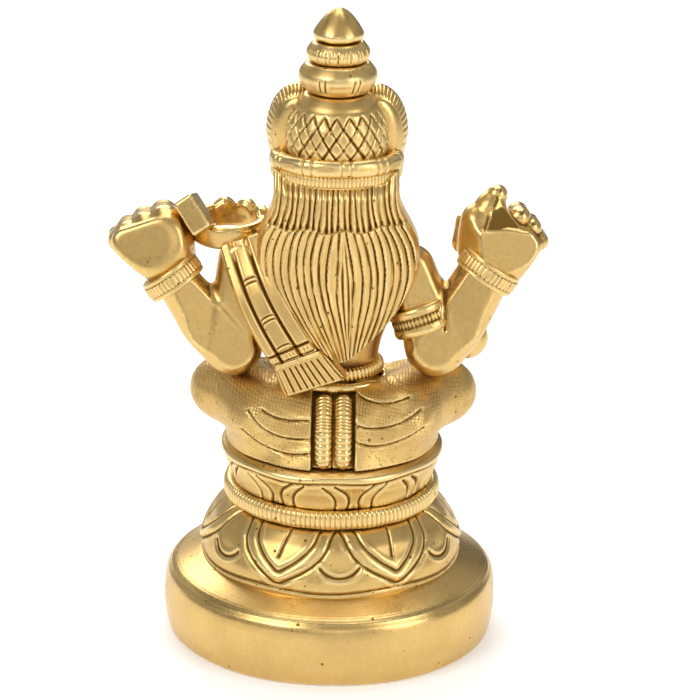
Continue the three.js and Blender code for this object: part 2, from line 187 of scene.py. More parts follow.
def polyline(points, step, soften):
    """A [radius, height] outline resampled at an even step with its corners rounded by about `soften`."""
    points = np.array(points, float)
    length = np.concatenate([[0], np.cumsum(np.linalg.norm(np.diff(points, axis=0), axis=1))])
    count = max(int(length[-1] / step), 8)
    s = np.linspace(0, length[-1], count)
    line = np.stack([np.interp(s, length, points[:, k]) for k in range(2)], 1)
    for _ in range(int((soften / step) ** 2 * 2) + 1):
        inner = 0.25 * line[:-2] + 0.5 * line[1:-1] + 0.25 * line[2:]
        line[1:-1] = inner
    return line


def round_box(node, sunk):
    """The middle, radius, foot and top of a turned piece. Its foot sits `sunk` mm into what is under it."""
    low, high = box(node)
    return (low + high) / 2, (high[0] - low[0]) / 2, low[2] - sunk, high[2]


def turned(profile, displace, segments, step, soften, centre=(0, 0)):
    """A closed body turned about a vertical axis. `displace(angle, height, radius)` moves it outwards in mm."""
    segments = int(segments / COARSE)
    line = polyline(profile, step * COARSE, soften)
    angle = np.arange(segments) / segments * TAU
    tangent = np.gradient(line, axis=0)
    normal = np.stack([tangent[:, 1], -tangent[:, 0]], 1)
    normal /= np.linalg.norm(normal, axis=1)[:, None]
    t, radius = np.meshgrid(angle, line[:, 0], indexing="ij")
    height = np.broadcast_to(line[:, 1], t.shape)
    push = displace(t, height, radius)
    push[:, [0, -1]] = 0
    r = radius + push * normal[:, 0]
    z = height + push * normal[:, 1]
    grid = np.stack([centre[0] + r * np.cos(t), centre[1] + r * np.sin(t), z], 2)
    points, faces = lattice(grid[:, 1:-1], wrap_u=True)
    rings = len(line) - 2
    first = np.arange(segments) * rings
    ends = np.array([grid[0, 0], grid[0, -1]])
    low, high = len(points), len(points) + 1
    after = np.roll(first, -1)
    fan_low = np.stack([first, np.full(segments, low), after, first], 1)
    fan_high = np.stack([first + rings - 1, after + rings - 1, np.full(segments, high), first + rings - 1], 1)
    return np.concatenate([points, ends]), np.concatenate([faces, fan_low, fan_high])


def capped(grid, points, faces):
    """Closes the two ends of a tube whose skin is `grid`."""
    segments, sides = grid.shape[:2]
    first = np.arange(sides)
    last = first + (segments - 1) * sides
    ends = np.array([grid[0].mean(0), grid[-1].mean(0)])
    cap_a = np.stack([first, np.roll(first, -1), np.full(sides, len(points)), first], 1)
    cap_b = np.stack([np.roll(last, -1), last, np.full(sides, len(points) + 1), np.roll(last, -1)], 1)
    return np.concatenate([points, ends]), np.concatenate([faces, cap_a, cap_b])


def squarish(value, power):
    return np.sign(value) * np.abs(value) ** power


def ring(centre, axis, radii, thickness, displace, segments, sides, start=0.0, sweep=TAU, power=1.0,
         tall=1.0):
    """A ring whose section is round, or squarer for a lower `power`, and `tall` times as high as it is thick.
    `displace(along, around)` moves its skin outwards, in mm. An open one has round ends."""
    segments, sides = int(segments / COARSE), int(sides / COARSE)
    axis = np.array(axis, float) / np.linalg.norm(axis)
    side = np.cross([0.0, 1.0, 0.0], axis)
    side /= np.linalg.norm(side)
    ahead = np.cross(axis, side)
    closed = sweep >= TAU
    along = start + np.arange(segments) / (segments if closed else segments - 1) * sweep
    around = np.arange(sides) / sides * TAU
    u, v = np.meshgrid(along, around, indexing="ij")
    r = thickness + displace(u, v)
    if not closed:
        taper = clamp(np.minimum(u - start, start + sweep - u) * max(radii) / thickness)
        r = r * np.sqrt(np.maximum(1 - (1 - taper) ** 2, 1e-4))
    out = np.stack([radii[0] * np.cos(u), radii[1] * np.sin(u)], 2)
    away = np.stack([np.cos(u) * radii[1], np.sin(u) * radii[0]], 2)
    away /= np.linalg.norm(away, axis=2)[:, :, None]
    plane = out + away * (r * squarish(np.cos(v), power))[:, :, None]
    rise = (r * tall * squarish(np.sin(v), power))[:, :, None]
    grid = np.array(centre) + plane[:, :, :1] * side + plane[:, :, 1:] * ahead + rise * axis
    points, faces = lattice(grid, wrap_u=closed, wrap_v=True)
    return (points, faces) if closed else capped(grid, points, faces)


def tube(path, radius, displace, segments, sides):
    """A closed tube along a smooth path with rounded ends."""
    segments, sides = int(segments / COARSE), int(sides / COARSE)
    path = np.array(path, float)
    keys = np.linspace(0, 1, len(path))
    t = np.linspace(0, 1, segments)
    line = np.stack([np.interp(t, keys, path[:, k]) for k in range(3)], 1)
    for _ in range(segments // 3):
        line[1:-1] = 0.25 * line[:-2] + 0.5 * line[1:-1] + 0.25 * line[2:]
    tangent = np.gradient(line, axis=0)
    tangent /= np.linalg.norm(tangent, axis=1)[:, None]
    across = np.cross(tangent, np.cross([1.0, 0.0, 0.0], tangent))
    across /= np.linalg.norm(across, axis=1)[:, None]
    depth = np.cross(tangent, across)
    around = np.arange(sides) / sides * TAU
    u, v = np.meshgrid(t, around, indexing="ij")
    length = np.linalg.norm(np.diff(line, axis=0), axis=1).sum()
    r = radius + displace(u * length, v)
    taper = clamp(np.minimum(u, 1 - u) * length / radius)
    r = r * np.sqrt(np.maximum(1 - (1 - taper) ** 2, 1e-3))
    grid = line[:, None] + (r * np.cos(v))[:, :, None] * across[:, None]
    grid = grid + (r * np.sin(v))[:, :, None] * depth[:, None]
    points, faces = lattice(grid, wrap_v=True)
    return capped(grid, points, faces)


def slab(surface, across, along, thickness):
    """A closed slab: `surface(s, t)` is its outer face for s in -1..1 and t in 0..1. Its back lies towards -Y."""
    s = np.linspace(-1, 1, int(across / COARSE))
    t = np.linspace(0, 1, int(along / COARSE))
    ss, tt = np.meshgrid(s, t, indexing="ij")
    outer = surface(ss, tt)
    back = outer - np.array([0, thickness, 0])
    nu, nv = ss.shape
    index = np.arange(nu * nv).reshape(nu, nv)
    front_faces = lattice(outer)[1]
    back_faces = lattice(back)[1][:, ::-1] + nu * nv
    rim = np.concatenate([index[:, 0], index[-1, 1:], index[-2::-1, -1], index[0, -2:0:-1]])
    layers = 6  # rows of faces between the outer face and the back
    points = [outer.reshape(-1, 3), back.reshape(-1, 3)]
    faces = [front_faces, back_faces]
    top, base = points[0][rim], points[1][rim]
    previous, count = rim, 2 * nu * nv
    for layer in range(1, layers):
        share = layer / layers
        points.append(top * (1 - share) + base * share)
        current = np.arange(count, count + len(rim))
        faces.append(np.stack([np.roll(previous, -1), previous, current, np.roll(current, -1)], 1))
        previous = current
        count += len(rim)
    last = rim + nu * nv
    faces.append(np.stack([np.roll(previous, -1), previous, last, np.roll(last, -1)], 1))
    return np.concatenate(points), np.concatenate(faces)


def outwards(points, faces):
    """The same faces, wound so that they point out."""
    p = points[faces]
    volume = np.einsum("ij,ij->i", p[:, 0], np.cross(p[:, 1], p[:, 2])).sum()
    volume += np.einsum("ij,ij->i", p[:, 0], np.cross(p[:, 2], p[:, 3])).sum()
    return faces if volume > 0 else faces[:, ::-1]


# ---------------------------------------------------------------- sculpting with distance fields


def ball(p, centre, radii):
    """Distance to an ellipsoid."""
    radii = np.array(radii, np.float32)
    q = (p - np.array(centre, np.float32))
    k0 = np.sqrt((q * q / radii ** 2).sum(-1)) + 1e-6
    k1 = np.sqrt((q * q / radii ** 4).sum(-1)) + 1e-6
    return k0 * (k0 - 1) / k1


def bone(p, a, b, ra, rb):
    """Distance to a limb that runs from a to b with round ends of radius ra and rb."""
    a, b = np.array(a, np.float32), np.array(b, np.float32)
    ab = b - a
    h = clamp(((p - a) @ ab) / (ab @ ab))
    q = p - a - h[..., None] * ab
    return np.sqrt((q * q).sum(-1)) - (ra + (rb - ra) * h)


def chain(p, points, radii, blend=1.0):
    d = bone(p, points[0], points[1], radii[0], radii[1])
    for i in range(1, len(points) - 1):
        d = smooth_min(d, bone(p, points[i], points[i + 1], radii[i], radii[i + 1]), blend)
    return d


def brick(p, centre, axes, half, rounding):
    """Distance to a box with rounded edges. `axes` are its three unit directions."""
    q = np.abs((p - np.array(centre, np.float32)) @ np.array(axes, np.float32).T)
    q = q - (np.array(half, np.float32) - rounding)
    outside = np.sqrt((np.maximum(q, 0) ** 2).sum(-1))
    return outside + np.minimum(q.max(-1), 0) - rounding


def smooth_min(a, b, k):
    h = np.maximum(k - np.abs(a - b), 0) / k
    return np.minimum(a, b) - h * h * k * 0.25


def smooth_max(a, b, k):
    return -smooth_min(-a, -b, k)


def groove(distance, width, depth):
    """A round-bottomed cut along a line: how much to add to a field, given the distance to the line."""
    return depth * hump(distance, width)


def rounded(points, rounds=3):
    """A smoother polyline through the same bends, by cutting its corners."""
    points = [np.array(q, float) for q in points]
    for _ in range(rounds):
        cut = [points[0]]
        for a, b in zip(points[:-1], points[1:]):
            cut += [0.75 * a + 0.25 * b, 0.25 * a + 0.75 * b]
        points = cut + [points[-1]]
    return points


def path_distance(p, points):
    """Distance from points to a polyline."""
    points = [np.array(q, np.float32) for q in points]
    best = None
    for a, b in zip(points[:-1], points[1:]):
        ab = b - a
        h = clamp(((p - a) @ ab) / (ab @ ab))
        d = np.sqrt(((p - a - h[..., None] * ab) ** 2).sum(-1))
        best = d if best is None else np.minimum(best, d)
    return best


def sculpt(field, low, high, step):
    """Meshes a distance field by surface nets, then settles each point onto the surface."""
    step = step * COARSE
    low = np.array(low, float) - 2.5 * step
    n = np.ceil((np.array(high, float) + 2.5 * step - low) / step).astype(int) + 1
    axes = [low[k] + step * np.arange(n[k]) for k in range(3)]
    grid = np.stack(np.meshgrid(*axes, indexing="ij"), -1).astype(np.float32)
    values = np.empty(grid.shape[:3], np.float32)
    for i in range(0, n[0], 24):
        values[i:i + 24] = field(grid[i:i + 24])
    inside = values < 0
    corner_offsets = [(i, j, k) for i in (0, 1) for j in (0, 1) for k in (0, 1)]
    shape = tuple(n - 1)

    def corner(array, o):
        return array[o[0]:o[0] + shape[0], o[1]:o[1] + shape[1], o[2]:o[2] + shape[2]]

    count_inside = sum(corner(inside, o).astype(np.int8) for o in corner_offsets)
    active = (count_inside > 0) & (count_inside < 8)
    number = np.full(shape, -1, np.int64)
    cells = np.argwhere(active)
    number[active] = np.arange(len(cells))
    total = np.zeros((len(cells), 3))
    hits = np.zeros(len(cells))
    ci, cj, ck = cells.T
    for axis in range(3):
        for o in corner_offsets:
            if o[axis]:
                continue
            e = list(o)
            e[axis] = 1
            va = values[ci + o[0], cj + o[1], ck + o[2]]
            vb = values[ci + e[0], cj + e[1], ck + e[2]]
            cut = (va < 0) != (vb < 0)
            share = np.where(cut, va / np.where(cut, va - vb, 1), 0)
            point = np.tile(np.array(o, float), (len(cells), 1))
            point[:, axis] += share
            total += point * cut[:, None]
            hits += cut
    points = (low + (cells + total / hits[:, None]) * step).astype(np.float32)
    faces = []
    for axis in range(3):
        one, two = [(1, 2), (2, 0), (0, 1)][axis]
        first = [slice(None)] * 3
        second = [slice(None)] * 3
        first[axis], second[axis] = slice(0, -1), slice(1, None)
        change = inside[tuple(first)] != inside[tuple(second)]
        where = np.argwhere(change)
        keep = (where[:, one] > 0) & (where[:, two] > 0)
        keep &= (where[:, one] < shape[one]) & (where[:, two] < shape[two])
        where = where[keep]
        start_inside = inside[tuple(where.T)]
        quad = []
        for da, db in ((0, 0), (1, 0), (1, 1), (0, 1)):
            c = where.copy()
            c[:, one] -= da
            c[:, two] -= db
            quad.append(number[tuple(c.T)])
        quad = np.stack(quad, 1)
        quad[~start_inside] = quad[~start_inside][:, ::-1]
        faces.append(quad)
    faces = np.concatenate(faces)
    h = np.float32(0.05)
    steps = np.eye(3, dtype=np.float32) * h
    for _ in range(3):
        value = field(points)
        gradient = np.stack([field(points + d) - field(points - d) for d in steps], 1) / (2 * h)
        size = np.maximum((gradient ** 2).sum(1), 0.05)
        points = points - np.clip(value / size, -step * 0.5, step * 0.5)[:, None] * gradient
    return biggest(points.astype(float), faces)


def carve(name, node, field, step, grow):
    """Sculpts a polished piece over a node's box, `grow` mm larger all round."""
    low, high = box(node)
    add_piece(name, sculpt(field, low - grow, high + grow, step), "polished_brass", [node])


def biggest(points, faces):
    """Keeps the largest connected surface, so that no crumb floats free."""
    label = np.arange(len(points))
    while True:
        low = label[faces].min(1)
        new = label.copy()
        for corner in range(4):
            np.minimum.at(new, faces[:, corner], low)
        new = new[new]
        if (new == label).all():
            break
        label = new
    keep = label == np.bincount(label).argmax()
    index = np.cumsum(keep) - 1
    return points[keep], index[faces[keep[faces].all(1)]]


# ---------------------------------------------------------------- materials

BRASS = (0.71, 0.475, 0.165)
# The pale tone tints random grain and, on ridges, a painted highlight; the dark tone is patina and also painted
# dark reflection.
PALE_BRASS_AND_HIGHLIGHT = (0.87, 0.67, 0.31)
PATINA_AND_DARK_REFLECTION = (0.165, 0.088, 0.014)
TARNISH = (0.58, 0.37, 0.14)
HATCH_PITCH = 0.62  # mm between the strokes on the cloth
HATCH_FADES = (45.0, 50.0)  # the heights, in mm, between which they fade out downwards


def show(name, data):
    thing = bpy.data.objects.new(name, data)
    bpy.context.scene.collection.objects.link(thing)
    return thing


class Nodes:
    """A short way to build a node tree."""

    def __init__(self, owner):
        owner.use_nodes = True
        self.tree = owner.node_tree
        self.tree.nodes.clear()

    def add(self, kind, inputs=None, **settings):
        node = self.tree.nodes.new(kind)
        for key, value in settings.items():
            setattr(node, key, value)
        for key, value in (inputs or {}).items():
            if isinstance(value, bpy.types.NodeSocket):
                self.tree.links.new(value, node.inputs[key])
            else:
                node.inputs[key].default_value = value
        return node

    def math(self, operation, a, b=0.0, clamp=False):
        return self.add("ShaderNodeMath", {0: a, 1: b}, operation=operation, use_clamp=clamp).outputs[0]

    def times(self, a, b):
        return self.math("MULTIPLY", a, b)

    def plus(self, a, b):
        return self.math("ADD", a, b)

    def minus(self, a, b, clamp=False):
        return self.math("SUBTRACT", a, b, clamp)

    def most(self, a, b, clamp=False):
        return self.math("MAXIMUM", a, b, clamp)

    def ramp(self, value, low, high, out_low=0.0, out_high=1.0):
        node = self.add("ShaderNodeMapRange", {0: value, 1: low, 2: high, 3: out_low, 4: out_high},
                        interpolation_type="SMOOTHSTEP")
        return node.outputs[0]

    def mix(self, share, a, b):
        node = self.add("ShaderNodeMix", data_type="RGBA")
        for socket, value in ((node.inputs[0], share), (node.inputs[6], a), (node.inputs[7], b)):
            if isinstance(value, bpy.types.NodeSocket):
                self.tree.links.new(value, socket)
            else:
                socket.default_value = (*value, 1.0) if isinstance(value, tuple) else value
        return node.outputs[2]

    def noise(self, where, size, detail=3.0, rough=0.5):
        """Noise whose features are about `size` mm."""
        node = self.add("ShaderNodeTexNoise", {"Vector": where, "Scale": 1 / (size * MM), "Detail": detail,
                                               "Roughness": rough})
        return node.outputs[0]


def brass(name, roughness, pit_share, punch=0.0, brushed=0.0, hatch=0.0):
    """Cast brass: polished ridges, painted paler as a painted highlight; brown patina in the grooves; painted dark
    reflections where a piece adds them to its relief; casting pits, and punch marks where asked.
    """
    material = bpy.data.materials.new(name)
    n = Nodes(material)
    where = n.add("ShaderNodeTexCoord").outputs["Object"]
    relief = n.add("ShaderNodeAttribute", attribute_name="relief").outputs["Fac"]

    cloud = n.noise(where, 9.0, 4.0)
    grain = n.noise(where, 0.9, 5.0, 0.65)
    fine = n.noise(where, 0.22, 3.0, 0.6)
    stretched = n.add("ShaderNodeMapping", {"Vector": where, "Scale": (1.0, 1.0, 9.0)}).outputs[0]
    brush = n.noise(stretched, 1.1, 4.0, 0.6)

    cells = n.add("ShaderNodeTexVoronoi", {"Vector": where, "Scale": 1 / (1.2 * MM), "Randomness": 1.0})
    chance = n.add("ShaderNodeSeparateColor", {0: cells.outputs["Color"]}).outputs[0]
    size = n.ramp(chance, 1.0 - pit_share, 1.0, 0.0, 0.26)
    pit = n.ramp(n.minus(size, cells.outputs["Distance"]), -0.05, 0.06)

    uneven = n.times(n.minus(grain, 0.5), 0.16)
    depth = n.plus(relief, uneven)
    # Deep relief turns dark: real patina in the grooves, and a painted dark reflection where a piece adds extra
    # darkening.
    groove = n.ramp(depth, 0.025, 0.11)
    ridge = n.ramp(depth, -0.02, -0.12)
    marks = n.times(pit, 0.85)
    if punch:
        dots = n.add("ShaderNodeTexVoronoi", {"Vector": where, "Scale": 1 / (0.62 * MM), "Randomness": 0.55})
        patchy = n.ramp(n.noise(where, 3.2, 2.0), 0.42, 0.58)
        dot = n.times(n.ramp(dots.outputs["Distance"], 0.34, 0.20), patchy)
        marks = n.most(marks, n.times(dot, punch))
    scored = 0.0
    if hatch:
        # Fine crossing strokes, as if the cloth were woven, worn away in places.
        wander = n.times(n.noise(where, 2.5, 2.0), 5.0)
        for slope, seed in (((1.0, 0.0, 0.22), 0.35), ((0.20, 0.0, -1.0), 0.55)):
            along = n.add("ShaderNodeVectorMath", {0: where, 1: slope}, operation="DOT_PRODUCT").outputs["Value"]
            phase = n.plus(n.times(along, TAU / (HATCH_PITCH * MM)), wander)
            stroke = n.ramp(n.math("SINE", phase), seed, 0.95)
            scored = n.most(scored, stroke)
        worn = n.ramp(n.noise(where, 4.0, 3.0), 0.36, 0.56)
        z = n.add("ShaderNodeSeparateXYZ", {0: where}).outputs[2]
        lower = n.ramp(z, HATCH_FADES[0] * MM, HATCH_FADES[1] * MM, 0.25, 1.0)
        scored = n.times(n.times(scored, worn), lower)
        scored = n.times(scored, hatch)
        marks = n.most(marks, n.times(scored, 0.55))
    dark = n.most(groove, marks, clamp=True)

    stain = n.ramp(cloud, 0.40, 0.72)
    colour = n.mix(n.times(stain, 0.45), BRASS, TARNISH)
    colour = n.mix(n.times(n.ramp(grain, 0.35, 0.75), 0.22), colour, PALE_BRASS_AND_HIGHLIGHT)
    # Ridges are painted paler: a painted highlight.
    colour = n.mix(n.times(ridge, 0.75), colour, PALE_BRASS_AND_HIGHLIGHT)
    # Patina in grooves, pits and marks, and the painted dark reflections.
    colour = n.mix(n.times(dark, 0.92), colour, PATINA_AND_DARK_REFLECTION)

    gloss = n.plus(roughness, n.times(n.minus(cloud, 0.5), 0.16))
    gloss = n.plus(gloss, n.times(n.minus(grain, 0.5), 0.14))
    gloss = n.plus(gloss, n.times(dark, 0.34))
    gloss = n.minus(gloss, n.times(ridge, 0.07), clamp=True)

    height = n.plus(n.times(grain, 0.020), n.times(fine, 0.006))
    height = n.plus(height, n.times(cloud, 0.10))
    height = n.plus(height, n.times(brush, brushed))
    height = n.minus(height, n.times(marks, 0.10))
    bump = n.add("ShaderNodeBump", {"Height": height, "Strength": 1.0, "Distance": MM}).outputs[0]
    shader = n.add("ShaderNodeBsdfPrincipled", {"Base Color": colour, "Roughness": gloss, "Normal": bump,
                                                "Metallic": 1.0})
    n.add("ShaderNodeOutputMaterial", {0: shader.outputs[0]})
    return material


MATERIALS = {
    "polished_brass": brass("polished_brass", 0.30, 0.07, brushed=0.012),
    "engraved_brass": brass("engraved_brass", 0.37, 0.17),
    "textured_brass": brass("textured_brass", 0.40, 0.14, punch=0.50, hatch=0.85),
}


# ---------------------------------------------------------------- camera, floor and lights

VIEW_ELEVATION = math.radians(19.8)
VIEW_ROLL = math.radians(0.95)
VIEW_DISTANCE = 0.6863
AIM_SHARE = 57.8 / 126.8  # the height that the camera looks at, as a share of the object's
AXIS_SHIFT = 16.5 / 700  # the object stands this share of the frame left of its middle


def make_camera():
    camera = show("camera", bpy.data.cameras.new("camera"))
    camera.data.lens = 180
    camera.data.sensor_width = 36
    camera.data.shift_x = AXIS_SHIFT
    camera.data.clip_start = 0.01
    back = Vector((0, math.cos(VIEW_ELEVATION), math.sin(VIEW_ELEVATION)))
    aim = Vector((0, 0, cad_high.z * AIM_SHARE))
    camera.rotation_mode = "QUATERNION"
    camera.location = aim + back * VIEW_DISTANCE
    turn = (-back).to_track_quat("-Z", "Y")
    roll = Matrix.Rotation(VIEW_ROLL, 3, "Z").to_quaternion()
    camera.rotation_quaternion = turn @ roll
    bpy.context.scene.camera = camera


def area_light(name, place, size, power, tint=(1, 1, 1)):
    light = show(name, bpy.data.lights.new(name, "AREA"))
    light.data.shape = "RECTANGLE"
    light.data.size, light.data.size_y = size
    light.data.energy = power
    light.data.color = tint
    light.location = place
    aim = Vector((0, 0, cad_high.z * 0.5))
    light.rotation_mode = "QUATERNION"
    light.rotation_quaternion = (aim - light.location).to_track_quat("-Z", "Y")


def make_studio():
    bpy.context.scene.view_settings.view_transform = "Standard"
    world = bpy.data.worlds.new("studio")
    bpy.context.scene.world = world
    n = Nodes(world)
    direction = n.add("ShaderNodeTexCoord").outputs["Generated"]
    height = n.add("ShaderNodeSeparateXYZ", {0: direction}).outputs[2]
    shade = n.ramp(height, -0.1, 0.75, 0.38, 0.52)
    patches = n.ramp(n.add("ShaderNodeTexNoise", {"Vector": direction, "Scale": 2.2, "Detail": 1.0}).outputs[0],
                     0.42, 0.58, 0.34, 1.05)
    level = n.times(shade, patches)
    background = n.add("ShaderNodeBackground", {0: (1.0, 0.985, 0.96, 1.0), 1: level})
    n.add("ShaderNodeOutputWorld", {0: background.outputs[0]})

    area_light("key", (0.36, 0.36, 0.44), (0.34, 0.34), 1.4, (1, 0.98, 0.95))
    area_light("fill", (-0.42, 0.34, 0.26), (0.26, 0.40), 0.9)
    area_light("front", (0.10, -0.50, 0.40), (0.40, 0.30), 1.5)
    area_light("top", (0.0, -0.14, 0.60), (0.44, 0.34), 1.15)
    area_light("camera_side", (-0.06, 0.92, 0.34), (0.50, 0.42), 0.66)


def make_floor():
    material = bpy.data.materials.new("floor")
    n = Nodes(material)
    where = n.add("ShaderNodeTexCoord").outputs["Object"]
    grain = n.add("ShaderNodeTexNoise", {"Vector": where, "Scale": 6.0, "Detail": 4.0}).outputs[0]
    tone = n.mix(grain, (0.90, 0.90, 0.895), (0.93, 0.93, 0.925))
    shader = n.add("ShaderNodeBsdfPrincipled", {"Base Color": tone, "Roughness": 0.8, "Emission Strength": 0.26,
                                                "Emission Color": (1, 1, 1, 1)})
    n.add("ShaderNodeOutputMaterial", {0: shader.outputs[0]})
    half, sides = 2.6, 64
    mesh = bpy.data.meshes.new("floor")
    ring_points = [(half * math.cos(TAU * i / sides), half * math.sin(TAU * i / sides), cad_low.z)
                   for i in range(sides)]
    mesh.from_pydata(ring_points, [], [list(range(sides))])
    mesh.materials.append(material)
    floor = show("floor", mesh)


# ---------------------------------------------------------------- plinth and lotus rings

BACK = math.pi / 2  # the angle of the figure's back, +Y, about the vertical axis


def turn_from(angle, centre):
    """The signed angle from `centre` to `angle`, in -pi..pi."""
    return (angle - centre + math.pi) % TAU - math.pi


def line_cut(distance, width, depth):
    return -depth * hump(distance, width)


def flat_distance(x, y, points):
    """Distance from (x, y) to a polyline drawn on a surface laid flat, in mm."""
    return path_distance(np.stack([x, y], -1).astype(np.float32), points)


def make_plinth():
    r, _, top = box("base_plinth")[1]
    profile = [(0, 0), (r - 1.6, 0), (r - 1.1, 0.4), (r - 0.4, 3.0), (r, 6.5), (r - 0.15, 10.0), (r - 0.5, 12.0),
               (r - 1.4, top - 0.7), (r - 2.4, top - 0.1), (r - 7.6, top + 2.0), (0, top + 2.0)]

    def worn(angle, height, radius):
        wave = 0.10 * np.sin(3 * angle + 0.4) + 0.06 * np.sin(7 * angle + height * 0.3)
        outer = clamp((radius - r + 6) / 4)
        turning = 0.08 * np.sin(radius * 9 + 0.4 * np.sin(angle * 2)) * (height > top - 1.5)
        return wave * outer + turning * outer

    shape = turned(profile, worn, segments=420, step=0.35, soften=0.35)
    add_piece("plinth", shape, "polished_brass", ["base_plinth"])


def mirrored(half):
    """A rounded outline from its right half."""
    left = [(-x, y) for x, y in reversed(half) if x]
    return rounded(left + half, 2)


LOWER_PETALS = [math.radians(a) for a in (-149, -86, -23.5, 31, 91, 150.5)]
LOWER_GAPS = [math.radians(a) for a in (-118, -56, 4.5, 61, 120, 180.5)]


def make_lower_lotus():
    low, high = box("lower_lotus")
    r = 25.8 / 26.6 * high[0]
    foot, top = low[2] - 0.1, high[2]
    profile = [(0, foot), (r - 0.8, foot), (r - 0.2, foot + 1.2), (r, foot + 2.7), (r - 0.2, foot + 4.9),
               (r - 1.2, foot + 7.9), (r - 2.9, foot + 10.7), (r - 5.2, foot + 12.8), (r - 7.2, top), (0, top)]

    # Lines drawn on the lotus laid flat: (across, up) in mm from a petal's or a gap's middle at the foot.
    outer = mirrored([(0, 3.5), (2.4, 4.9), (5.9, 6.9), (8.8, 9.8), (8.9, 13.4)])
    inner = mirrored([(0, 5.9), (1.4, 6.9), (3.6, 8.4), (6.0, 10.9), (6.2, 13.4)])
    crescent_line = mirrored([(1.0, 5.6), (2.8, 6.3), (3.9, 7.4)])

    def petals(angle, height, radius):
        wall = clamp((radius - (r - 7.2)) / 1.5) * clamp((height - foot - 0.3) / 0.8)
        z = height - foot
        push = np.zeros_like(angle)
        for petal in LOWER_PETALS:
            a = turn_from(angle - BACK, petal)
            x = a * radius
            half = 9.6 * clamp((z - 2.4) / 8.0) ** 0.75 + 0.2
            body = clamp(1 - np.abs(x) / half)
            push += 0.42 * np.sqrt(body) * clamp((z - 3.4) / 1.5)
            near = np.abs(x) < 12
            for outline, width, depth in ((outer, 0.30, 0.42), (inner, 0.27, 0.36)):
                d = flat_distance(x, z, outline)
                cut = line_cut(d, width, depth) + 0.10 * hump(d - 1.0, 0.42)
                push += np.where(near, cut, 0)
            push += line_cut(flat_distance(x, z, [(0.5, 12.9), (-0.4, 8.8)]), 0.28, 0.42)
            dish = np.exp(-(x / 3.4) ** 2 - ((z - 10.0) / 2.6) ** 2)
            push -= 0.35 * dish
        for gap in LOWER_GAPS:
            x = turn_from(angle - BACK, gap) * radius
            crescent = flat_distance(x, z, crescent_line)
            push += line_cut(crescent, 0.30, 0.42)
            push += 0.12 * hump(crescent - 0.9, 0.35)
            push -= 0.35 * np.exp(-(x / 3.6) ** 2 - ((z - 7.4) / 1.6) ** 2)
        lip = z - 2.7 + 0.3 * np.cos(6 * (angle - BACK) + 0.1)
        push += line_cut(lip, 0.30, 0.30)
        return push * wall

    shape = turned(profile, petals, segments=760, step=0.24, soften=0.45)
    add_piece("lower_lotus_petals", shape, "engraved_brass", ["lower_lotus"])


def make_rope_ring():
    low, high = box("rope_ring")
    section = (high[2] - low[2]) / 2
    middle = (high[0] - low[0]) / 2 - section - 0.8  # it sits tight against the seat
    centre = (low + high) / 2
    ribs = round(TAU * (middle + section) / 1.02)

    def cut(along, around):
        phase = ribs * along / TAU + 0.10 * np.sin(around) + 0.15 * np.sin(9 * along)
        d = off_whole(phase) * 1.02
        lips = clamp(1.5 - 1.6 * np.abs(np.sin(around)) ** 3)
        return line_cut(d, 0.17, 0.26) * lips + 0.04 * np.sin(17 * along)

    shape = ring(centre, (0, 0, 1), (middle, middle), section, cut, segments=1360, sides=30, power=0.75,
                         tall=1.25)
    add_piece("rope_ring_ribs", shape, "engraved_brass", ["rope_ring"])


UPPER_PETALS = 8


def make_upper_lotus():
    low, high = box("upper_lotus")
    r, foot, top = high[0], low[2] - 0.1, high[2]
    profile = [(0, foot), (r - 3.9, foot), (r - 3.8, foot + 3.2), (r - 2.5, foot + 3.7), (r - 2.1, foot + 5.5),
               (r - 1.3, foot + 7.6), (r - 0.1, foot + 9.7), (r - 0.3, foot + 10.8), (r - 1.6, top), (0, top)]
    outer = rounded([(6.3, 3.4), (7.0, 5.4), (6.4, 7.4), (4.3, 8.9)])
    inner = rounded([(3.9, 3.4), (4.3, 5.4), (3.6, 7.2), (1.9, 8.7)])

    def petals(angle, height, radius):
        z = height - foot
        wall = clamp((z - 3.4) / 0.5) * clamp((11.2 - z) / 0.4)
        push = np.zeros_like(angle)
        for k in range(UPPER_PETALS):
            x = turn_from(angle - BACK, math.radians(-9.5) + k * TAU / UPPER_PETALS) * radius
            push += 0.35 * np.sqrt(clamp(1 - (x / 7.4) ** 2)) * clamp((9.2 - z) / 2)
            push += line_cut(flat_distance(np.abs(x), z, outer), 0.26, 0.50)
            push += line_cut(flat_distance(np.abs(x), z, inner), 0.24, 0.42)
        edge = z - 9.35 - 0.25 * np.cos(UPPER_PETALS * (angle - BACK))
        push += line_cut(edge, 0.34, 0.42)
        push += 0.2 * hump(edge - 1.1, 0.7)
        return push * wall

    shape = turned(profile, petals, segments=640, step=0.25, soften=0.35)
    add_piece("upper_lotus_petals", shape, "engraved_brass", ["upper_lotus"])


# ---------------------------------------------------------------- crown, bands and rings


def make_crown_dome():
    centre, r, foot, top = round_box("crown_dome", 0.4)
    profile = [(0, foot), (r * 0.93, foot), (r * 0.95, foot + 0.8), (r, foot + 3.6), (r * 0.965, foot + 7.4),
               (r * 0.83, foot + 10.6), (r * 0.70, foot + 12.2), (r * 0.62, top), (0, top)]
    diamonds, tall = 22, 4.1

    def lattice_cuts(angle, height, radius):
        z = height - foot
        across = diamonds * angle / TAU + 0.04 * np.sin(5 * angle)
        up = z / tall
        push = np.zeros_like(angle)
        pitch = 1 / np.sqrt((diamonds / (TAU * r)) ** 2 + 1 / tall ** 2)
        field = clamp((z - 1.2) / 0.7) * clamp((10.4 - z) / 0.6)
        for sign, depth in ((1, 0.55), (-1, 0.48)):
            q = across + sign * up
            d = off_whole(q) * pitch
            uneven = 0.75 + 0.25 * np.sin(3.1 * q.round() + 1.7 * up)
            push += line_cut(d, 0.24, depth) * uneven
        collar = line_cut(z - 10.9, 0.4, 0.14) + line_cut(z - 0.9, 0.35, 0.3)
        return push * field + collar

    shape = turned(profile, lattice_cuts, segments=560, step=0.2, soften=0.4, centre=centre[:2])
    add_piece("crown_dome_lattice", shape, "engraved_brass", ["crown_dome"])


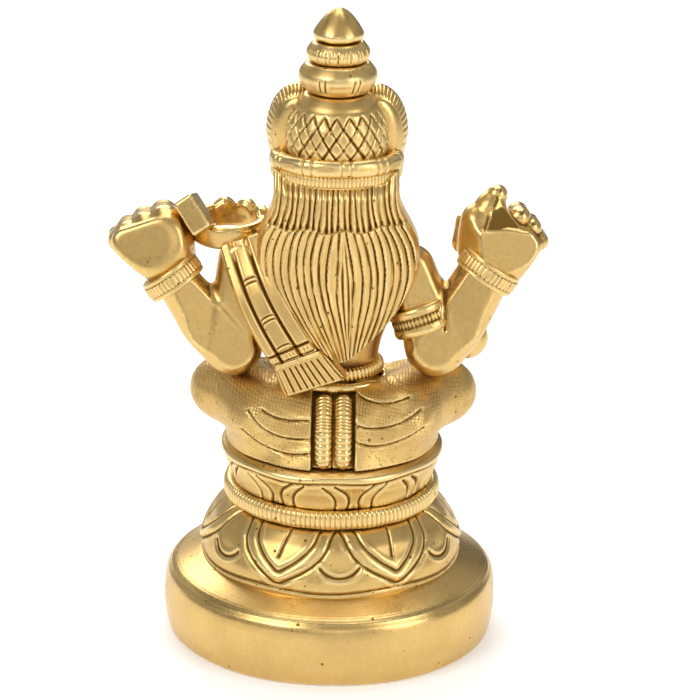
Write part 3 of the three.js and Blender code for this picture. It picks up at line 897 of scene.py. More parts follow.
def make_crown_rings():
    centre, r, foot, top = round_box("crown_ring_lower", 0.3)
    axis = centre[:2]  # all three stand on one axis
    profile = [(0, foot), (r * 0.66, foot), (r * 0.78, foot + 0.3), (r * 0.90, foot + 1.4), (r, foot + 3.1),
               (r * 0.985, foot + 4.2), (r * 0.88, foot + 5.3), (r * 0.80, top), (0, top)]

    def paired_cuts(angle, height, radius):
        push = np.zeros_like(angle)
        z = height - foot
        inside = clamp((z - 0.7) / 0.4) * clamp((4.0 - z) / 0.5)
        for pair in (31, -24, 86, -80, 141, -136):
            x = turn_from(angle - BACK, math.radians(pair)) * r
            for offset in (-0.62, 0.62):
                push += line_cut(x - offset - 0.08 * (z - 3), 0.20, 0.34) * inside
        scratch = turn_from(angle - BACK, math.radians(4)) * r
        push += line_cut(flat_distance(scratch, z, [(-1.8, 2.3), (1.8, 2.4)]), 0.35, 0.12)
        return push + 0.04 * np.sin(5 * angle)

    shape = turned(profile, paired_cuts, segments=360, step=0.2, soften=0.35, centre=axis)
    add_piece("crown_lower_ring_cuts", shape, "engraved_brass", ["crown_ring_lower"])

    _, r, foot, top = round_box("crown_ring_upper", 0.3)
    profile = [(0, foot), (r * 0.84, foot), (r * 0.93, foot + 0.5), (r, foot + 1.7), (r * 0.95, foot + 2.6),
               (r * 0.78, top), (0, top)]
    ribs = 44

    def hatch(angle, height, radius):
        z = height - foot
        d = off_whole(ribs * angle / TAU) * TAU * r / ribs
        band = clamp((z - 0.2) / 0.3) * clamp((3.0 - z) / 0.5)
        uneven = 0.55 + 0.45 * np.sin(np.round(ribs * angle / TAU) * 2.4)
        return line_cut(d, 0.17, 0.30) * band * uneven

    shape = turned(profile, hatch, segments=520, step=0.2, soften=0.3, centre=axis)
    add_piece("crown_upper_ring_hatch", shape, "engraved_brass", ["crown_ring_upper"])

    _, r, foot, top = round_box("crown_finial", 0.3)
    rise = top + 0.6 - foot - 1.5
    bullet = [(r * (1 - h ** 1.15) ** 0.62, foot + 1.5 + rise * h) for h in np.linspace(0, 1, 32)]
    base = [(0, foot), (r * 0.72, foot), (r * 0.90, foot + 0.3), (r * 0.975, foot + 0.8)]
    profile = [*base, *bullet[:-1], (0, bullet[-1][1])]

    def dents(angle, height, radius):
        return 0.04 * np.sin(4 * angle + height) * (radius > 1)

    shape = turned(profile, dents, segments=200, step=0.14, soften=0.15, centre=axis)
    add_piece("crown_finial_bud", shape, "polished_brass", ["crown_finial"])


def tilted_axis(low, high, rise):
    """The axis of a band whose back edge stands `rise` mm above its front."""
    return (0, -rise / (high[1] - low[1]), 1)


def make_crown_bands():
    low, high = box("crown_band")
    thick = 1.7 / 26.0 * (high[0] - low[0])
    centre = (low + high) / 2
    radii = ((high[0] - low[0]) / 2 - thick, (high[1] - low[1]) / 2 - thick)
    rise = high[2] - low[2] - 2 * thick

    def paired(along, around):
        outer = clamp(np.cos(around) * 3 + 0.6)
        push = np.zeros_like(along)
        for pair in (9, -27, 44, -62, 80, -98, 116, -134, 152, 188):
            x = turn_from(along - BACK, math.radians(pair)) * radii[0]
            for offset in (-0.85, 0.85):
                push += line_cut(x - offset, 0.20, 0.26)
            middle = turn_from(along - BACK, math.radians(pair - 18)) * radii[0]
            push += line_cut(np.sin(around) * thick - 0.1, 0.14, 0.14) * (np.abs(middle) < 1.3)
        return push * outer + 0.04 * np.sin(7 * along)

    shape = ring(centre, tilted_axis(low, high, rise * 0.6), radii, thick, paired, segments=560, sides=34,
                         power=0.85, tall=1.05)
    add_piece("crown_band_cuts", shape, "engraved_brass", ["crown_band"])

    low, high = box("nape_band")
    thick = 1.3 / 25.4 * (high[0] - low[0])
    reach = high[1] - centre[1]
    radii = ((high[0] - low[0]) / 2 - thick, reach - thick)
    middle = np.array([(low[0] + high[0]) / 2, centre[1], high[2] - thick * 1.15])
    pitch = 0.74

    def hatch(along, around):
        face = np.abs(np.sin(around)) < 0.72
        d = off_whole(along * radii[0] / pitch) * pitch
        lips = line_cut(np.abs(np.sin(around)) - 0.70, 0.12, 0.22)
        return (line_cut(d, 0.15, 0.20) * face + lips) * (np.cos(around) > 0)

    shape = ring(middle, (0, 0, 1), radii, thick, hatch, segments=900, sides=34,
                         start=math.radians(-20), sweep=math.radians(220), power=0.7, tall=1.2)
    add_piece("nape_band_hatch", shape, "engraved_brass", ["nape_band"])


def hatched_ring(node, name, thick, axis, pitch, tall, shift=(0, 0, 0), grow=0.0, plain_edges=False):
    """A bracelet: a flat band with fine cross cuts between two smooth lips, round a limb that runs along `axis`."""
    low, high = box(node)
    centre, half = (low + high) / 2 + np.array(shift), (high - low) / 2
    axis = np.array(axis, float) / np.linalg.norm(axis)
    # A ring of radius R about this axis reaches R * sqrt(1 - n^2) along each direction.
    spread = np.sqrt(np.maximum(1 - axis ** 2, 0.05))
    radius = ((half - thick) / spread)[np.argsort(-half)[:2]].mean() + grow
    lip = 0.45 if plain_edges else 0.80

    def cuts(along, around):
        d = off_whole(along * radius / pitch) * pitch
        across = squarish(np.sin(around), 0.5)
        face = np.abs(across) < lip
        edge = line_cut((np.abs(across) - lip) * thick * tall, 0.16, 0.22)
        worn = 0.75 + 0.25 * np.sin(11 * along)
        swell = 0.16 * (np.abs(across) > lip)
        ribs = line_cut(d, 0.15, 0.17 if plain_edges else 0.22) * worn
        return (ribs * face + edge + swell) * (np.cos(around) > -0.1)

    shape = ring(centre, axis, (radius, radius), thick, cuts, segments=int(TAU * radius / 0.15), sides=40,
                         power=0.5, tall=tall)
    add_piece(name, shape, "engraved_brass", [node])


def make_bracelets():
    left = at("left_rear_hand", 0.5, 0.63, 0.48) - at("left_rear_arm", 0.34, 0.61, 0.18)
    right = at("right_rear_hand", 0.44, 0.63, 0.32) - at("right_rear_arm", 0.64, 0.57, 0.22)
    hatched_ring("left_rear_bracelet", "left_rear_bracelet_hatch", 0.9, left, 0.80, tall=1.9, grow=0.2)
    hatched_ring("right_rear_bracelet", "right_rear_bracelet_hatch", 0.9, right, 0.85, tall=1.9, grow=0.1)
    left = at("left_front_hand", 0.5, 0.6, 0.5) - at("left_front_arm", 0.68, 0.79, 0.29)
    right = at("right_front_hand", 0.42, 0.51, 0.37) - at("right_front_arm", 0.21, 0.76, 0.18)
    hatched_ring("left_front_bracelet", "left_front_bracelet_hatch", 0.8, left, 0.75, tall=1.3)
    hatched_ring("right_front_bracelet", "right_front_bracelet_hatch", 0.8, right, 0.75, tall=1.3)
    upper = at("right_rear_arm", 0.88, 0.36, 0.79) - at("right_rear_arm", 0.64, 0.57, 0.22)
    hatched_ring("right_armlet", "right_armlet_hatch", 0.9, upper, 0.70, tall=2.6, shift=(-0.6, 0.3, -1.7),
                 grow=0.5, plain_edges=True)


def make_girdle():
    low, high = box("waist_band")
    centre, half = (low + high) / 2, (high - low) / 2
    thick = half[2]

    def plain(along, around):
        return 0.06 * np.sin(9 * along) + line_cut(np.sin(around), 0.25, 0.10)

    shape = ring(centre, (0, 0, 1), (half[0] - thick, half[1] - thick), thick, plain, segments=320, sides=22)
    add_piece("waist_band_smooth", shape, "polished_brass", ["waist_band"])

    low, high = box("girdle_roll")
    half = (high - low) / 2
    thick = half[2]
    ribs = 66

    def rope(along, around):
        d = off_whole(ribs * along / TAU + 0.22 * np.sin(around)) * TAU * half[0] / ribs
        return line_cut(d, 0.19, 0.30)

    centre = (low + high) / 2
    full = half[0] - thick
    shape = ring((centre[0], high[1] - 0.84 * full - thick, centre[2]), (0, 0, 1), (full, 0.84 * full), thick,
                         rope, segments=700, sides=24, power=0.8, tall=1.5)
    add_piece("girdle_roll_ribs", shape, "engraved_brass", ["girdle_roll"])


def make_cords():
    pitch = 0.88
    for node in ("girdle_cord_left", "girdle_cord_right"):
        low, high = box(node)
        x = (low[0] + high[0]) / 2
        r = (high[0] - low[0]) / 2
        path = [(x, low[1] + r, high[2] - r), (x, low[1] + 5.8, high[2] - 4.0),
                (x, high[1] - r + 0.2, high[2] - 7.0), (x, high[1] - r + 1.2, low[2] + r - 1.9)]

        def ribs(along, around):
            d = off_whole(along / pitch) * pitch
            nick = 1 + 0.6 * hump(around - math.pi / 2, 0.3) + 0.6 * hump(around - 3 * math.pi / 2, 0.3)
            return line_cut(d, 0.17, 0.15) * nick

        shape = tube(path, r * 1.14, ribs, segments=150, sides=36)
        add_piece(node + "_ribs", shape, "engraved_brass", [node])


def make_noose():
    low, high = box("noose")
    thick, tall = 1.05, 2.2
    centre = (low + high) / 2 + np.array([0, 0.2, (high[2] - low[2]) / 2 - thick * tall + 0.3])
    radius = (high[0] - low[0]) / 2 - thick - 0.5

    def knobs(along, around):
        # A smooth strap, with beads along its rim on the far side towards the shoulder.
        far = clamp(np.cos(along - math.radians(235)) * 2.4 - 0.6)
        bead = np.abs(np.cos(along * 4.5)) ** 0.7
        top = clamp(np.sin(around) * 1.6)
        return far * top * (0.75 * bead - 0.15) + line_cut(np.abs(np.sin(around)) - 0.8, 0.10, 0.10)

    shape = ring(centre, (0, 0.06, 1), (radius, radius), thick, knobs, segments=260, sides=44, power=0.6,
                         tall=tall)
    add_piece("noose_strap", shape, "polished_brass", ["noose"])


def make_bowl_and_sweets():
    centre, r, foot, top = round_box("sweet_bowl", 0)
    profile = [(0, foot), (r * 0.55, foot), (r * 0.62, foot + 0.5), (r * 0.90, foot + 1.9), (r, top - 0.5),
               (r * 0.99, top), (r * 0.90, top - 0.1), (r * 0.84, top - 0.9), (0, top - 1.2)]

    def rim_cuts(angle, height, radius):
        d = off_whole(36 * angle / TAU) * TAU * r / 36
        return line_cut(d, 0.18, 0.16) * clamp((height - foot - 1.8) * 2) * (radius > r * 0.93)

    shape = turned(profile, rim_cuts, segments=240, step=0.22, soften=0.25, centre=centre[:2])
    add_piece("sweet_bowl_rim", shape, "polished_brass", ["sweet_bowl"])

    low, high = box("sweets")
    r = (high[2] - low[2]) / 2
    middle = (low + high) / 2
    reach = (high[0] - low[0]) / 2 - r
    seats = [middle + np.array([reach * math.cos(a), reach * math.sin(a), 0])
             for a in (math.radians(90), math.radians(210), math.radians(330))]

    def balls(p):
        d = None
        for seat in seats:
            q = p - seat.astype(np.float32)
            turn = np.arctan2(q[..., 1], q[..., 0])
            one = np.sqrt((q * q).sum(-1)) - r * 0.98 + 0.06 * np.cos(8 * turn)
            d = one if d is None else smooth_min(d, one, 0.25)
        return d

    shape = sculpt(balls, low, high, 0.24)
    add_piece("sweets_balls", shape, "polished_brass", ["sweets"])


def make_ears():
    for node, side in (("left_ear", 1), ("right_ear", -1)):
        low, high = box(node)
        middle = np.array([7.4 * side, (low[1] + high[1]) / 2 + 2.3, high[2] - 10.2])
        half_wide, half_tall, half_thick = 6.3, 10.2, 3.4
        profile = [(0, -half_thick), (7.2, -half_thick), (8.7, -half_thick + 0.8), (9.2, -0.6), (9.1, 0.8),
                   (8.0, half_thick - 1.0), (6.3, half_thick), (5.0, half_thick + 0.1), (0, half_thick + 0.1)]

        def rim(angle, height, radius):
            d = off_whole(46 * angle / TAU) * TAU * 8 / 46
            outer = clamp((radius - 7.7) / 0.3) * (height > 0.2)
            inner = line_cut(radius - 7.4, 0.30, 0.16) * (height > 0)
            return line_cut(d, 0.17, 0.26) * outer + inner + 0.08 * np.sin(3 * angle + 1)

        points, faces = turned(profile, rim, segments=420, step=0.22, soften=0.45)
        u = points[:, 0] / 9.2 * side
        w = points[:, 1] / 9.2
        lobe = np.minimum(w, 0)
        x = middle[0] + half_wide * u + 1.7 * side * lobe
        z = middle[2] + half_tall * w + 3.8 * lobe
        z = np.clip(z, low[2], high[2])
        y = middle[1] + points[:, 2] - 0.05 * (np.abs(x) - 7) ** 2
        add_piece(node + "_rim", (np.stack([x, y, z], 1), faces), "polished_brass", [node])


# ---------------------------------------------------------------- hair and shoulder cloth


def strand_noise(index, seed):
    """A steady random number in -1..1 for each strand."""
    return np.sin(index * 12.9898 + seed * 78.233) * 43758.5453 % 2 - 1


HAIR_STEP = 86.6  # the height, in mm, where the short hair under the band meets the long hair
STRAND = 1.34  # mm between the grooves of the long hair
STRAND_ABOVE = 1.08  # and between those above the step


def hair_width(t):
    l = clamp((t - 0.42) / 0.58)
    upper = 12 + 3.6 * smoothstep(t, 0.04, 0.38)
    return upper * (1 - l ** 1.75) + 0.9 * l


def make_hair():
    low, high = box("hair")
    tall = high[2] - low[2]
    step_t = (high[2] - HAIR_STEP) / tall

    def surface(s, t):
        x = s * hair_width(t) - 1.6 * t
        # The top of the hair turns in under the band and climbs beside it.
        tucked = 1 - smoothstep(t, 0, 0.07)
        z = high[2] - t * tall + tucked * (1.0 + 1.8 * smoothstep(np.abs(s), 0.75, 0.95))
        y = high[1] - 0.7 + 0.7 * np.sin(math.pi * t) - 0.022 * x ** 2 - 1.7 * tucked ** 2
        notch = step_t + 0.010 * np.sin(x * 0.9) - 0.0012 * np.maximum(-x - 3, 0) ** 1.5
        lower = smoothstep(t, notch, notch + 0.012)
        along = clamp((t - step_t) / (1 - step_t))

        q_up = x / STRAND_ABOVE * (12 / hair_width(t)) ** 0.8 + 0.5 + 0.07 * np.sin(t * 22 + x * 2.1)
        n_up = np.floor(q_up)
        d_up = off_whole(q_up) * STRAND_ABOVE
        depth_up = 0.36 + 0.16 * np.sin(n_up * 1.9) + 0.22 * smoothstep(t, step_t * 0.45, step_t)
        up = -depth_up * hump(d_up, 0.24) + 0.16 * strand_noise(n_up, 3)
        up += 0.24 * ((q_up % 1) - 0.5)

        middle = -1.5 - 1.4 * along
        narrow = 0.36 + 0.64 * hair_width(t) / hair_width(step_t + 0 * t)
        u = (x - middle) / (STRAND * narrow)
        bulge = 1.05 * np.sin(math.pi * clamp(along) ** 0.85)
        q = u - np.sign(u) * bulge * (1 - np.exp(-np.abs(u) / 1.25))
        q = q + 0.06 * np.sin(along * 9 + np.floor(q))
        n = np.floor(q + 0.5)
        d = np.abs(q % 1 - 0.5) * STRAND * narrow
        fade = np.clip(1.25 - np.abs(u) / 14, 0.4, 1)
        smooth_side = smoothstep(-x, 7, 11) * smoothstep(0.40 - along, 0, 0.2)
        worn = 0.75 + 0.25 * np.sin(n * 2.1 + along * 7) + 0.15 * np.sin(n * 5.3 + along * 31)
        down = -0.52 * hump(d, 0.25 * np.sqrt(narrow)) * fade * worn + 0.15 * strand_noise(n, 5)
        down += 0.30 * ((q + 0.5) % 1 - 0.5) * (1 + smooth_side)
        lens = hump((np.abs(u) - 0.42 * np.sin(math.pi * along)) * STRAND, 0.22)
        down -= 0.45 * lens * np.sin(math.pi * along) ** 0.7
        fine = off_whole(q * 3.0 + 0.3 * np.sin(along * 14)) / 3 * STRAND
        down -= 0.10 * hump(fine, 0.12) * (0.5 + 0.5 * np.sin(n * 3.7 + along * 5))
        raised = 0.45 * hump(t - notch - 0.02, 0.05)
        pit = -0.14 * hump(t - notch + 0.012, 0.012) * hump(d_up, 0.5)
        height = (1 - lower) * up + lower * (down + raised) + pit
        height = height + 0.10 * np.sin(x * 0.8 + z * 0.35)
        rim = smoothstep(1 - np.abs(s), 0, 0.05)
        return np.stack([x, y + height * rim - 0.9 * (1 - rim), z], 2)

    shape = slab(surface, 250, 300, 5.0)
    add_piece("hair_strands", shape, "engraved_brass", ["hair"])


def sash_frame(t):
    """Centre, across and outward directions of the shoulder cloth at t along its length."""
    mark = marker("shoulder_sash")
    keys = np.array([mark(0.83, 0.26, 0.94), mark(0.68, 0.73, 0.67),
                     mark(0.47, 0.91, 0.38), mark(0.24, 0.99, 0.13),
                     at("sash_fringe", 0.41, 1.0, 0.28)])
    fine = np.linspace(0, 1, 200)
    line = np.stack([np.interp(fine, np.linspace(0, 1, len(keys)), keys[:, k]) for k in range(3)], 1)
    for _ in range(900):
        line[1:-1] = 0.25 * line[:-2] + 0.5 * line[1:-1] + 0.25 * line[2:]
    tangent = np.gradient(line, axis=0)
    tangent /= np.linalg.norm(tangent, axis=1)[:, None]
    centre = np.stack([np.interp(t, fine, line[:, k]) for k in range(3)], -1)
    ahead = np.stack([np.interp(t, fine, tangent[:, k]) for k in range(3)], -1)
    out = np.stack([0.06 + 0.10 * (1 - t), np.ones_like(t), 0.20 + 0.45 * (1 - t) ** 3], -1)
    across = np.cross(out, ahead)
    across /= np.linalg.norm(across, axis=-1)[..., None]
    normal = np.cross(ahead, across)
    return centre, across, normal


FRINGE_START = 0.785


def hang(s, along):
    """The free end hangs a little lower on the side towards the spine."""
    drop = 2.6 * smoothstep(along, 0.45, 1.0) * (0.35 + 0.65 * s)
    return drop[..., None] * np.array([-0.35, 0.0, -0.94])


def make_sash():
    def pleats(s, t):
        along = t * (FRINGE_START - 0.006)
        centre, across, normal = sash_frame(along)
        half = 4.5 + 1.0 * along
        height = 0.15 - 0.20 * s ** 4
        for groove_at, deep in ((-0.55 + 0.06 * (1 - t), 1.0), (0.20, 0.95)):
            d = (s - groove_at) * half
            height = height - deep * hump(d, 0.26)
            height = height + 0.05 * hump(np.abs(d) - 0.7, 0.3)
        # The edge towards the hair is a broad, smooth slope; the other edge is rounded.
        height = height - 2.4 * clamp((s - 0.72) / 0.28) - 0.9 * clamp((-s - 0.86) / 0.14) ** 1.5
        between = (s > -0.47) & (s < 0.13)
        for place in (0.30, 0.62, 0.88):
            for offset in (-0.016, 0.018):
                d = (t - place - offset - 0.10 * (s + 0.17) ** 2) * 30
                height = height - 0.34 * hump(d, 0.22) * between
        border = (1 - t) * 28
        on_top = clamp((0.78 - s) / 0.06)
        cuts = 0.85 * hump(border - 0.25, 0.26) + 0.80 * hump(border - 2.3, 0.28)
        height = height - cuts * on_top
        d = off_whole(s * half / 0.75) * 0.75
        strip = (border > 0.6) & (border < 1.9) & (s < 0.72)
        height = height - 0.22 * hump(d, 0.16) * strip
        return centre + across * (s * half)[..., None] + normal * height[..., None] + hang(s, along)

    shape = slab(pleats, 130, 250, 3.0)
    add_piece("shoulder_sash_pleats", shape, "engraved_brass", ["shoulder_sash"])

    def fringe(s, t):
        along = FRINGE_START + t * (1 - FRINGE_START)
        centre, across, normal = sash_frame(along)
        half = 4.5 + 1.0 * along + 1.0 * t
        q = s * 4.6 + 0.5 * np.sin(s * 4) * 0.3
        d = off_whole(q) * half / 4.6
        height = 0.15 - 0.42 * hump(d, 0.20) * smoothstep(t, 0.10, 0.22) * smoothstep(1 - t, 0.04, 0.12)
        height = height + 0.10 * strand_noise(np.floor(q), 2) - 1.4 * clamp((np.abs(s) - 0.84) / 0.16) ** 1.5
        height = height - 0.5 * hump(1 - t, 0.03)
        height = height - 0.4 * hump(t, 0.05)
        return centre + across * (s * half)[..., None] + normal * height[..., None] + hang(s, along)

    shape = slab(fringe, 150, 90, 3.0)
    add_piece("sash_fringe_threads", shape, "engraved_brass", ["sash_fringe"])


# ---------------------------------------------------------------- the figure

TOWARDS_BACK = np.array([0.0, 0.94, 0.34])


def unit(v):
    v = np.array(v, float)
    return v / np.linalg.norm(v)


def facet(d, p, point, normal, blend=0.8):
    """Cuts a soft-edged flat onto a form, on the side that `normal` faces."""
    normal = unit(normal).astype(np.float32)
    return smooth_max(d, (p - np.array(point, np.float32)) @ normal, blend)


def square_off(perpendicular_to, leaning):
    """The part of `leaning` that is square to a limb."""
    a = unit(perpendicular_to)
    return unit(np.array(leaning, float) - (np.array(leaning, float) @ a) * a)


def paint_dark_reflection(points, faces, normal, low, amount):
    """A painted dark reflection on the faces that look along `normal`, given as extra depth in mm so that the
    material darkens them like the grooves.
    """
    return amount * smoothstep(vertex_normals(points, outwards(points, faces)) @ unit(normal), low, 0.99)


SUNK = 4.0  # how far the foot of the torso reaches down between the legs, in mm


def make_torso():
    low, high = box("torso")
    mark = marker("torso")
    z_keys = np.array([0.0, 4, 9, 13, 18, 23, 27, 31.5, 35.5, 39, 42]) / 42 * (high[2] - low[2]) + low[2]
    r_keys = np.array([8.8, 9.1, 8.6, 9.4, 11.4, 13.4, 14.2, 13.0, 9.8, 7.4, 6.8])

    def field(p):
        x, y, z = p[..., 0], p[..., 1], p[..., 2]
        r = np.interp(z, z_keys, r_keys).astype(np.float32)
        for shift in (-1.5, 1.5):
            r = (2 * r + np.interp(z + shift, z_keys, r_keys).astype(np.float32)) / 3
        d = (np.sqrt(x ** 2 + ((y - 2.5) / 0.6) ** 2) - r) * 0.72
        d = np.maximum(d, np.maximum(z - high[2], low[2] - SUNK - z))
        d = smooth_min(d, ball(p, mark(0.5, 0.37, 0.26), (9.2, 9.3, 9.4)), 3.0)
        for side in (-1, 1):
            chest = mark(0.5 + side * 0.19, 0.33, 0.62)
            d = smooth_min(d, ball(p, chest, (6.0, 5.0, 5.0)), 2.5)
        navel = mark(0.5, 0.01, 0.22).astype(np.float32)
        d = d + groove(np.sqrt(((p - navel) ** 2).sum(-1)), 1.0, 1.0)
        spine = (y > 4) & (z < 62)
        d = d + groove(np.abs(x), 0.7, 0.35) * spine
        # A beaded thread over the left shoulder and a collar, on the front.
        front = y < 0
        thread = np.abs(x * 0.55 + (z - 66) * 0.83)
        d = d - 0.45 * hump(thread, 0.55) * front * (z > 55) * (z < 80)
        collar = np.sqrt(x ** 2 + (z - 88) ** 2)
        for radius in (9.6, 11.4):
            bead = 0.35 + 0.12 * np.cos(np.arctan2(x, 88 - z) * 34)
            d = d - bead * hump(collar - radius, 0.5) * front
        return d

    shape = sculpt(field, low - np.array([0.3, 0.3, SUNK + 0.3]), high + 0.2, 0.34)
    add_piece("torso_body", shape, "polished_brass", ["torso"])


def make_rear_arms():
    # Marks are shares of the node's box; the radii are at the shoulder, elbow, bulge of the forearm and wrist.
    sides = (
        ("left_rear_arm", (0.19, 0.38, 0.82), (0.27, 0.61, 0.215), (0.79, 0.48, 0.71),
         (4.9, 5.4, 5.6, 4.3), 3.9, 1),
        ("right_rear_arm", (0.88, 0.36, 0.79), (0.65, 0.57, 0.225), (0.22, 0.45, 0.81),
         (4.9, 5.7, 6.0, 5.3), 4.2, -1),
    )
    for node, shoulder, elbow, wrist, radii, flat, side in sides:
        shoulder, elbow, wrist = at(node, *shoulder), at(node, *elbow), at(node, *wrist)
        low, high = box(node)
        forearm, upper = unit(wrist - elbow), unit(elbow - shoulder)
        broad = square_off(forearm, TOWARDS_BACK)
        broad_above = square_off(upper, TOWARDS_BACK)
        outer = square_off(forearm, (side * 0.86, 0.15, -0.5))
        inner = square_off(forearm, (-side * 0.80, 0.35, 0.45))
        bulge = elbow + (wrist - elbow) * 0.32 + outer * 0.7
        middle = (elbow + wrist) / 2
        web = elbow + unit(forearm - upper) * 9.6
        crease = [(elbow[0] + side * 1.6, elbow[2] + 12.5), (elbow[0] + side * 1.6, elbow[2] + 4.5)]

        def field(p):
            arm = bone(p, shoulder, elbow, radii[0], radii[1])
            arm = facet(arm, p, (shoulder + elbow) / 2 + broad_above * flat, broad_above, 0.5)
            lower = chain(p, [elbow, bulge, wrist - forearm * 2.2], radii[1:], 1.5)
            lower = facet(lower, p, middle + broad * flat, broad, 0.4)
            lower = facet(lower, p, middle + inner * radii[2] * 0.78, inner, 0.4)
            lower = facet(lower, p, middle + outer * (radii[2] + 0.4), outer, 0.8)
            joined = smooth_min(arm, lower, 1.6)
            filled = facet(bone(p, elbow, web, radii[1] - 0.6, 2.6), p, elbow + broad * (flat - 0.35), broad, 0.5)
            joined = smooth_min(joined, filled, 1.0)
            if side > 0:
                return joined
            line = path_distance(p[..., [0, 2]], crease)
            return joined + groove(line, 0.35, 0.5) * (p[..., 1] > elbow[1])

        shape = sculpt(field, low - 1.5, high + 1.5, 0.32)
        # The inner facet of the forearm is darkened: a painted dark reflection.
        add_piece(node + "_facets", shape, "polished_brass", [node], paint_dark_reflection(*shape, inner, 0.93, 0.075))


def make_front_arms():
    sides = (
        ("left_front_arm", (0.43, 0.95, 0.81), (0.68, 0.79, 0.29), (0.24, 0.17, 0.15)),
        ("right_front_arm", (0.82, 0.89, 0.82), (0.21, 0.76, 0.18), (0.63, 0.16, 0.19)),
    )
    for node, shoulder, elbow, wrist in sides:
        shoulder, elbow, wrist = at(node, *shoulder), at(node, *elbow), at(node, *wrist)

        def field(p):
            d = chain(p, [shoulder, elbow, wrist], (4.2, 4.0, 3.1), 1.2)
            middle = shoulder * 0.55 + elbow * 0.45  # an armlet is carved round the limb here
            axis = unit(elbow - shoulder).astype(np.float32)
            along = (p - middle.astype(np.float32)) @ axis
            d = d - 0.5 * hump(along, 0.9) + 0.35 * hump(np.abs(along) - 1.3, 0.3)
            return d

        carve(node + "_limb", node, field, step=0.36, grow=1.0)


def finger(p, knuckle, joint, tip, r):
    d = bone(p, knuckle, joint, r, r * 0.92)
    return smooth_min(d, bone(p, joint, tip, r * 0.92, r * 0.78), 0.5)


def make_left_rear_hand():
    node = "left_rear_hand"
    mark = marker(node)
    palm = mark(0.5, 0.58, 0.46)
    wrist = mark(0.26, 0.62, 0.10)
    broad = unit((0.10, 0.93, 0.26))
    # The four knuckles from the little finger to the index, with their radii.
    row = [(mark(fx, 0.56, fz), r) for fx, fz, r in
           ((0.85, 0.50, 1.9), (0.73, 0.635, 2.0), (0.56, 0.735, 2.2), (0.34, 0.79, 2.8))]

    def field(p):
        d = ball(p, palm, (9.6, 6.4, 8.2))
        d = smooth_min(d, bone(p, wrist, palm, 4.8, 5.6), 1.5)
        d = facet(d, p, mark(0.60, 0.5, 0.79), (0.34, 0.0, 0.94), 1.0)
        d = facet(d, p, mark(0.77, 0.5, 0.28), (0.67, 0.1, -0.74), 2.2)
        d = facet(d, p, mark(0.91, 0.5, 0.60), (0.98, 0.0, 0.20), 1.6)
        d = facet(d, p, mark(0.03, 0.6, 0.50), (-0.93, 0.15, 0.25), 0.9)
        for curl, (knuckle, r) in zip((2.2, 3.4, 4.6, 5.0), row):
            joint = knuckle + np.array([0.3, -5.0, -0.4])
            tip = joint + np.array([-0.5 * curl, 1.2, -curl])
            d = smooth_min(d, finger(p, knuckle, joint, tip, r), 0.8)
        d = facet(d, p, palm + broad * 4.7, broad, 0.9)
        thumb = finger(p, mark(0.20, 0.25, 0.55), mark(0.30, 0.12, 0.75), mark(0.50, 0.10, 0.72), 1.9)
        return smooth_min(d, thumb, 0.6)

    carve("left_rear_fist", node, field, step=0.28, grow=0.8)


def make_right_rear_hand():
    node = "right_rear_hand"
    low, high = box(node)
    mark = marker(node)
    palm = mark(0.44, 0.60, 0.34)
    wrist = mark(0.56, 0.62, 0.04)
    broad = unit((-0.05, 0.96, 0.20))
    slope = unit((-0.15, 0.80, 0.58))
    row = [(mark(fx, 0.50, fz), r) for fx, fz, r in ((0.27, 0.655, 2.1), (0.135, 0.53, 2.0), (0.045, 0.38, 1.9))]

    def field(p):
        d = ball(p, palm, (8.2, 6.0, 6.6))
        d = facet(d, p, mark(0.30, 0.5, 0.585), (0.0, 0.1, 1.0), 0.5)
        d = facet(d, p, mark(0.085, 0.5, 0.49), (-0.73, 0.0, 0.68), 0.5)
        d = facet(d, p, mark(0.07, 0.5, 0.23), (-0.85, 0.1, -0.52), 1.0)
        d = smooth_min(d, bone(p, wrist, palm, 5.0, 5.2), 1.5)
        d = smooth_min(d, ball(p, mark(0.76, 0.50, 0.42), (4.0, 4.4, 6.6)), 1.6)
        d = facet(d, p, palm + broad * 4.3, broad, 0.35)
        # A sloping web fills the corner between the raised finger and the first knuckle.
        web = (p - mark(0.39, 0.82, 0.61).astype(np.float32)) @ slope.astype(np.float32)
        web = facet(web, p, mark(0.36, 0.5, 0.69), (-0.747, 0.0, 0.664), 0.3)
        web = facet(web, p, mark(0.59, 0.5, 0.76), (0.92, 0.0, 0.385), 0.3)
        web = facet(web, p, mark(0.40, 0.46, 0.60), (0.0, -1.0, 0.0), 0.3)
        web = facet(web, p, mark(0.40, 0.50, 0.555), (0.0, 0.0, -1.0), 0.3)
        d = smooth_min(d, web, 0.3)
        index = chain(p, [mark(0.70, 0.50, 0.54), mark(0.61, 0.46, 0.75), mark(0.53, 0.43, 0.89)],
                      (3.6, 2.8, 2.0), 0.8)
        d = smooth_min(d, index, 0.7)
        d = facet(d, p, mark(0.88, 0.72, 0.45), (0.72, 0.68, 0.05), 0.5)
        d = facet(d, p, mark(0.97, 0.5, 0.42), (0.98, 0.0, 0.1), 0.8)
        for knuckle, r in row:
            joint = knuckle + np.array([0.3, -3.6, -0.2])
            d = smooth_min(d, finger(p, knuckle, joint, joint + np.array([1.6, 0.6, -4.2]), r), 0.3)
        thumb = finger(p, mark(0.92, 0.30, 0.30), mark(0.88, 0.12, 0.50), mark(0.62, 0.08, 0.58), 1.9)
        return smooth_min(d, thumb, 0.6)

    shape = sculpt(field, low - 0.6, high + 0.6, 0.28)
    # The sloping web between the raised finger and the first knuckle is darkened: a painted dark reflection.
    on_web = smoothstep(shape[0][:, 2], mark(0, 0, 0.57)[2], mark(0, 0, 0.60)[2])
    on_web = on_web * ((shape[0] - mark(0.59, 0.5, 0.76)) @ np.array([0.92, 0.0, 0.385]) < 0.2)
    web_dark_reflection = paint_dark_reflection(*shape, slope, 0.965, 0.26) * on_web
    add_piece("right_rear_fist", shape, "polished_brass", [node], web_dark_reflection)


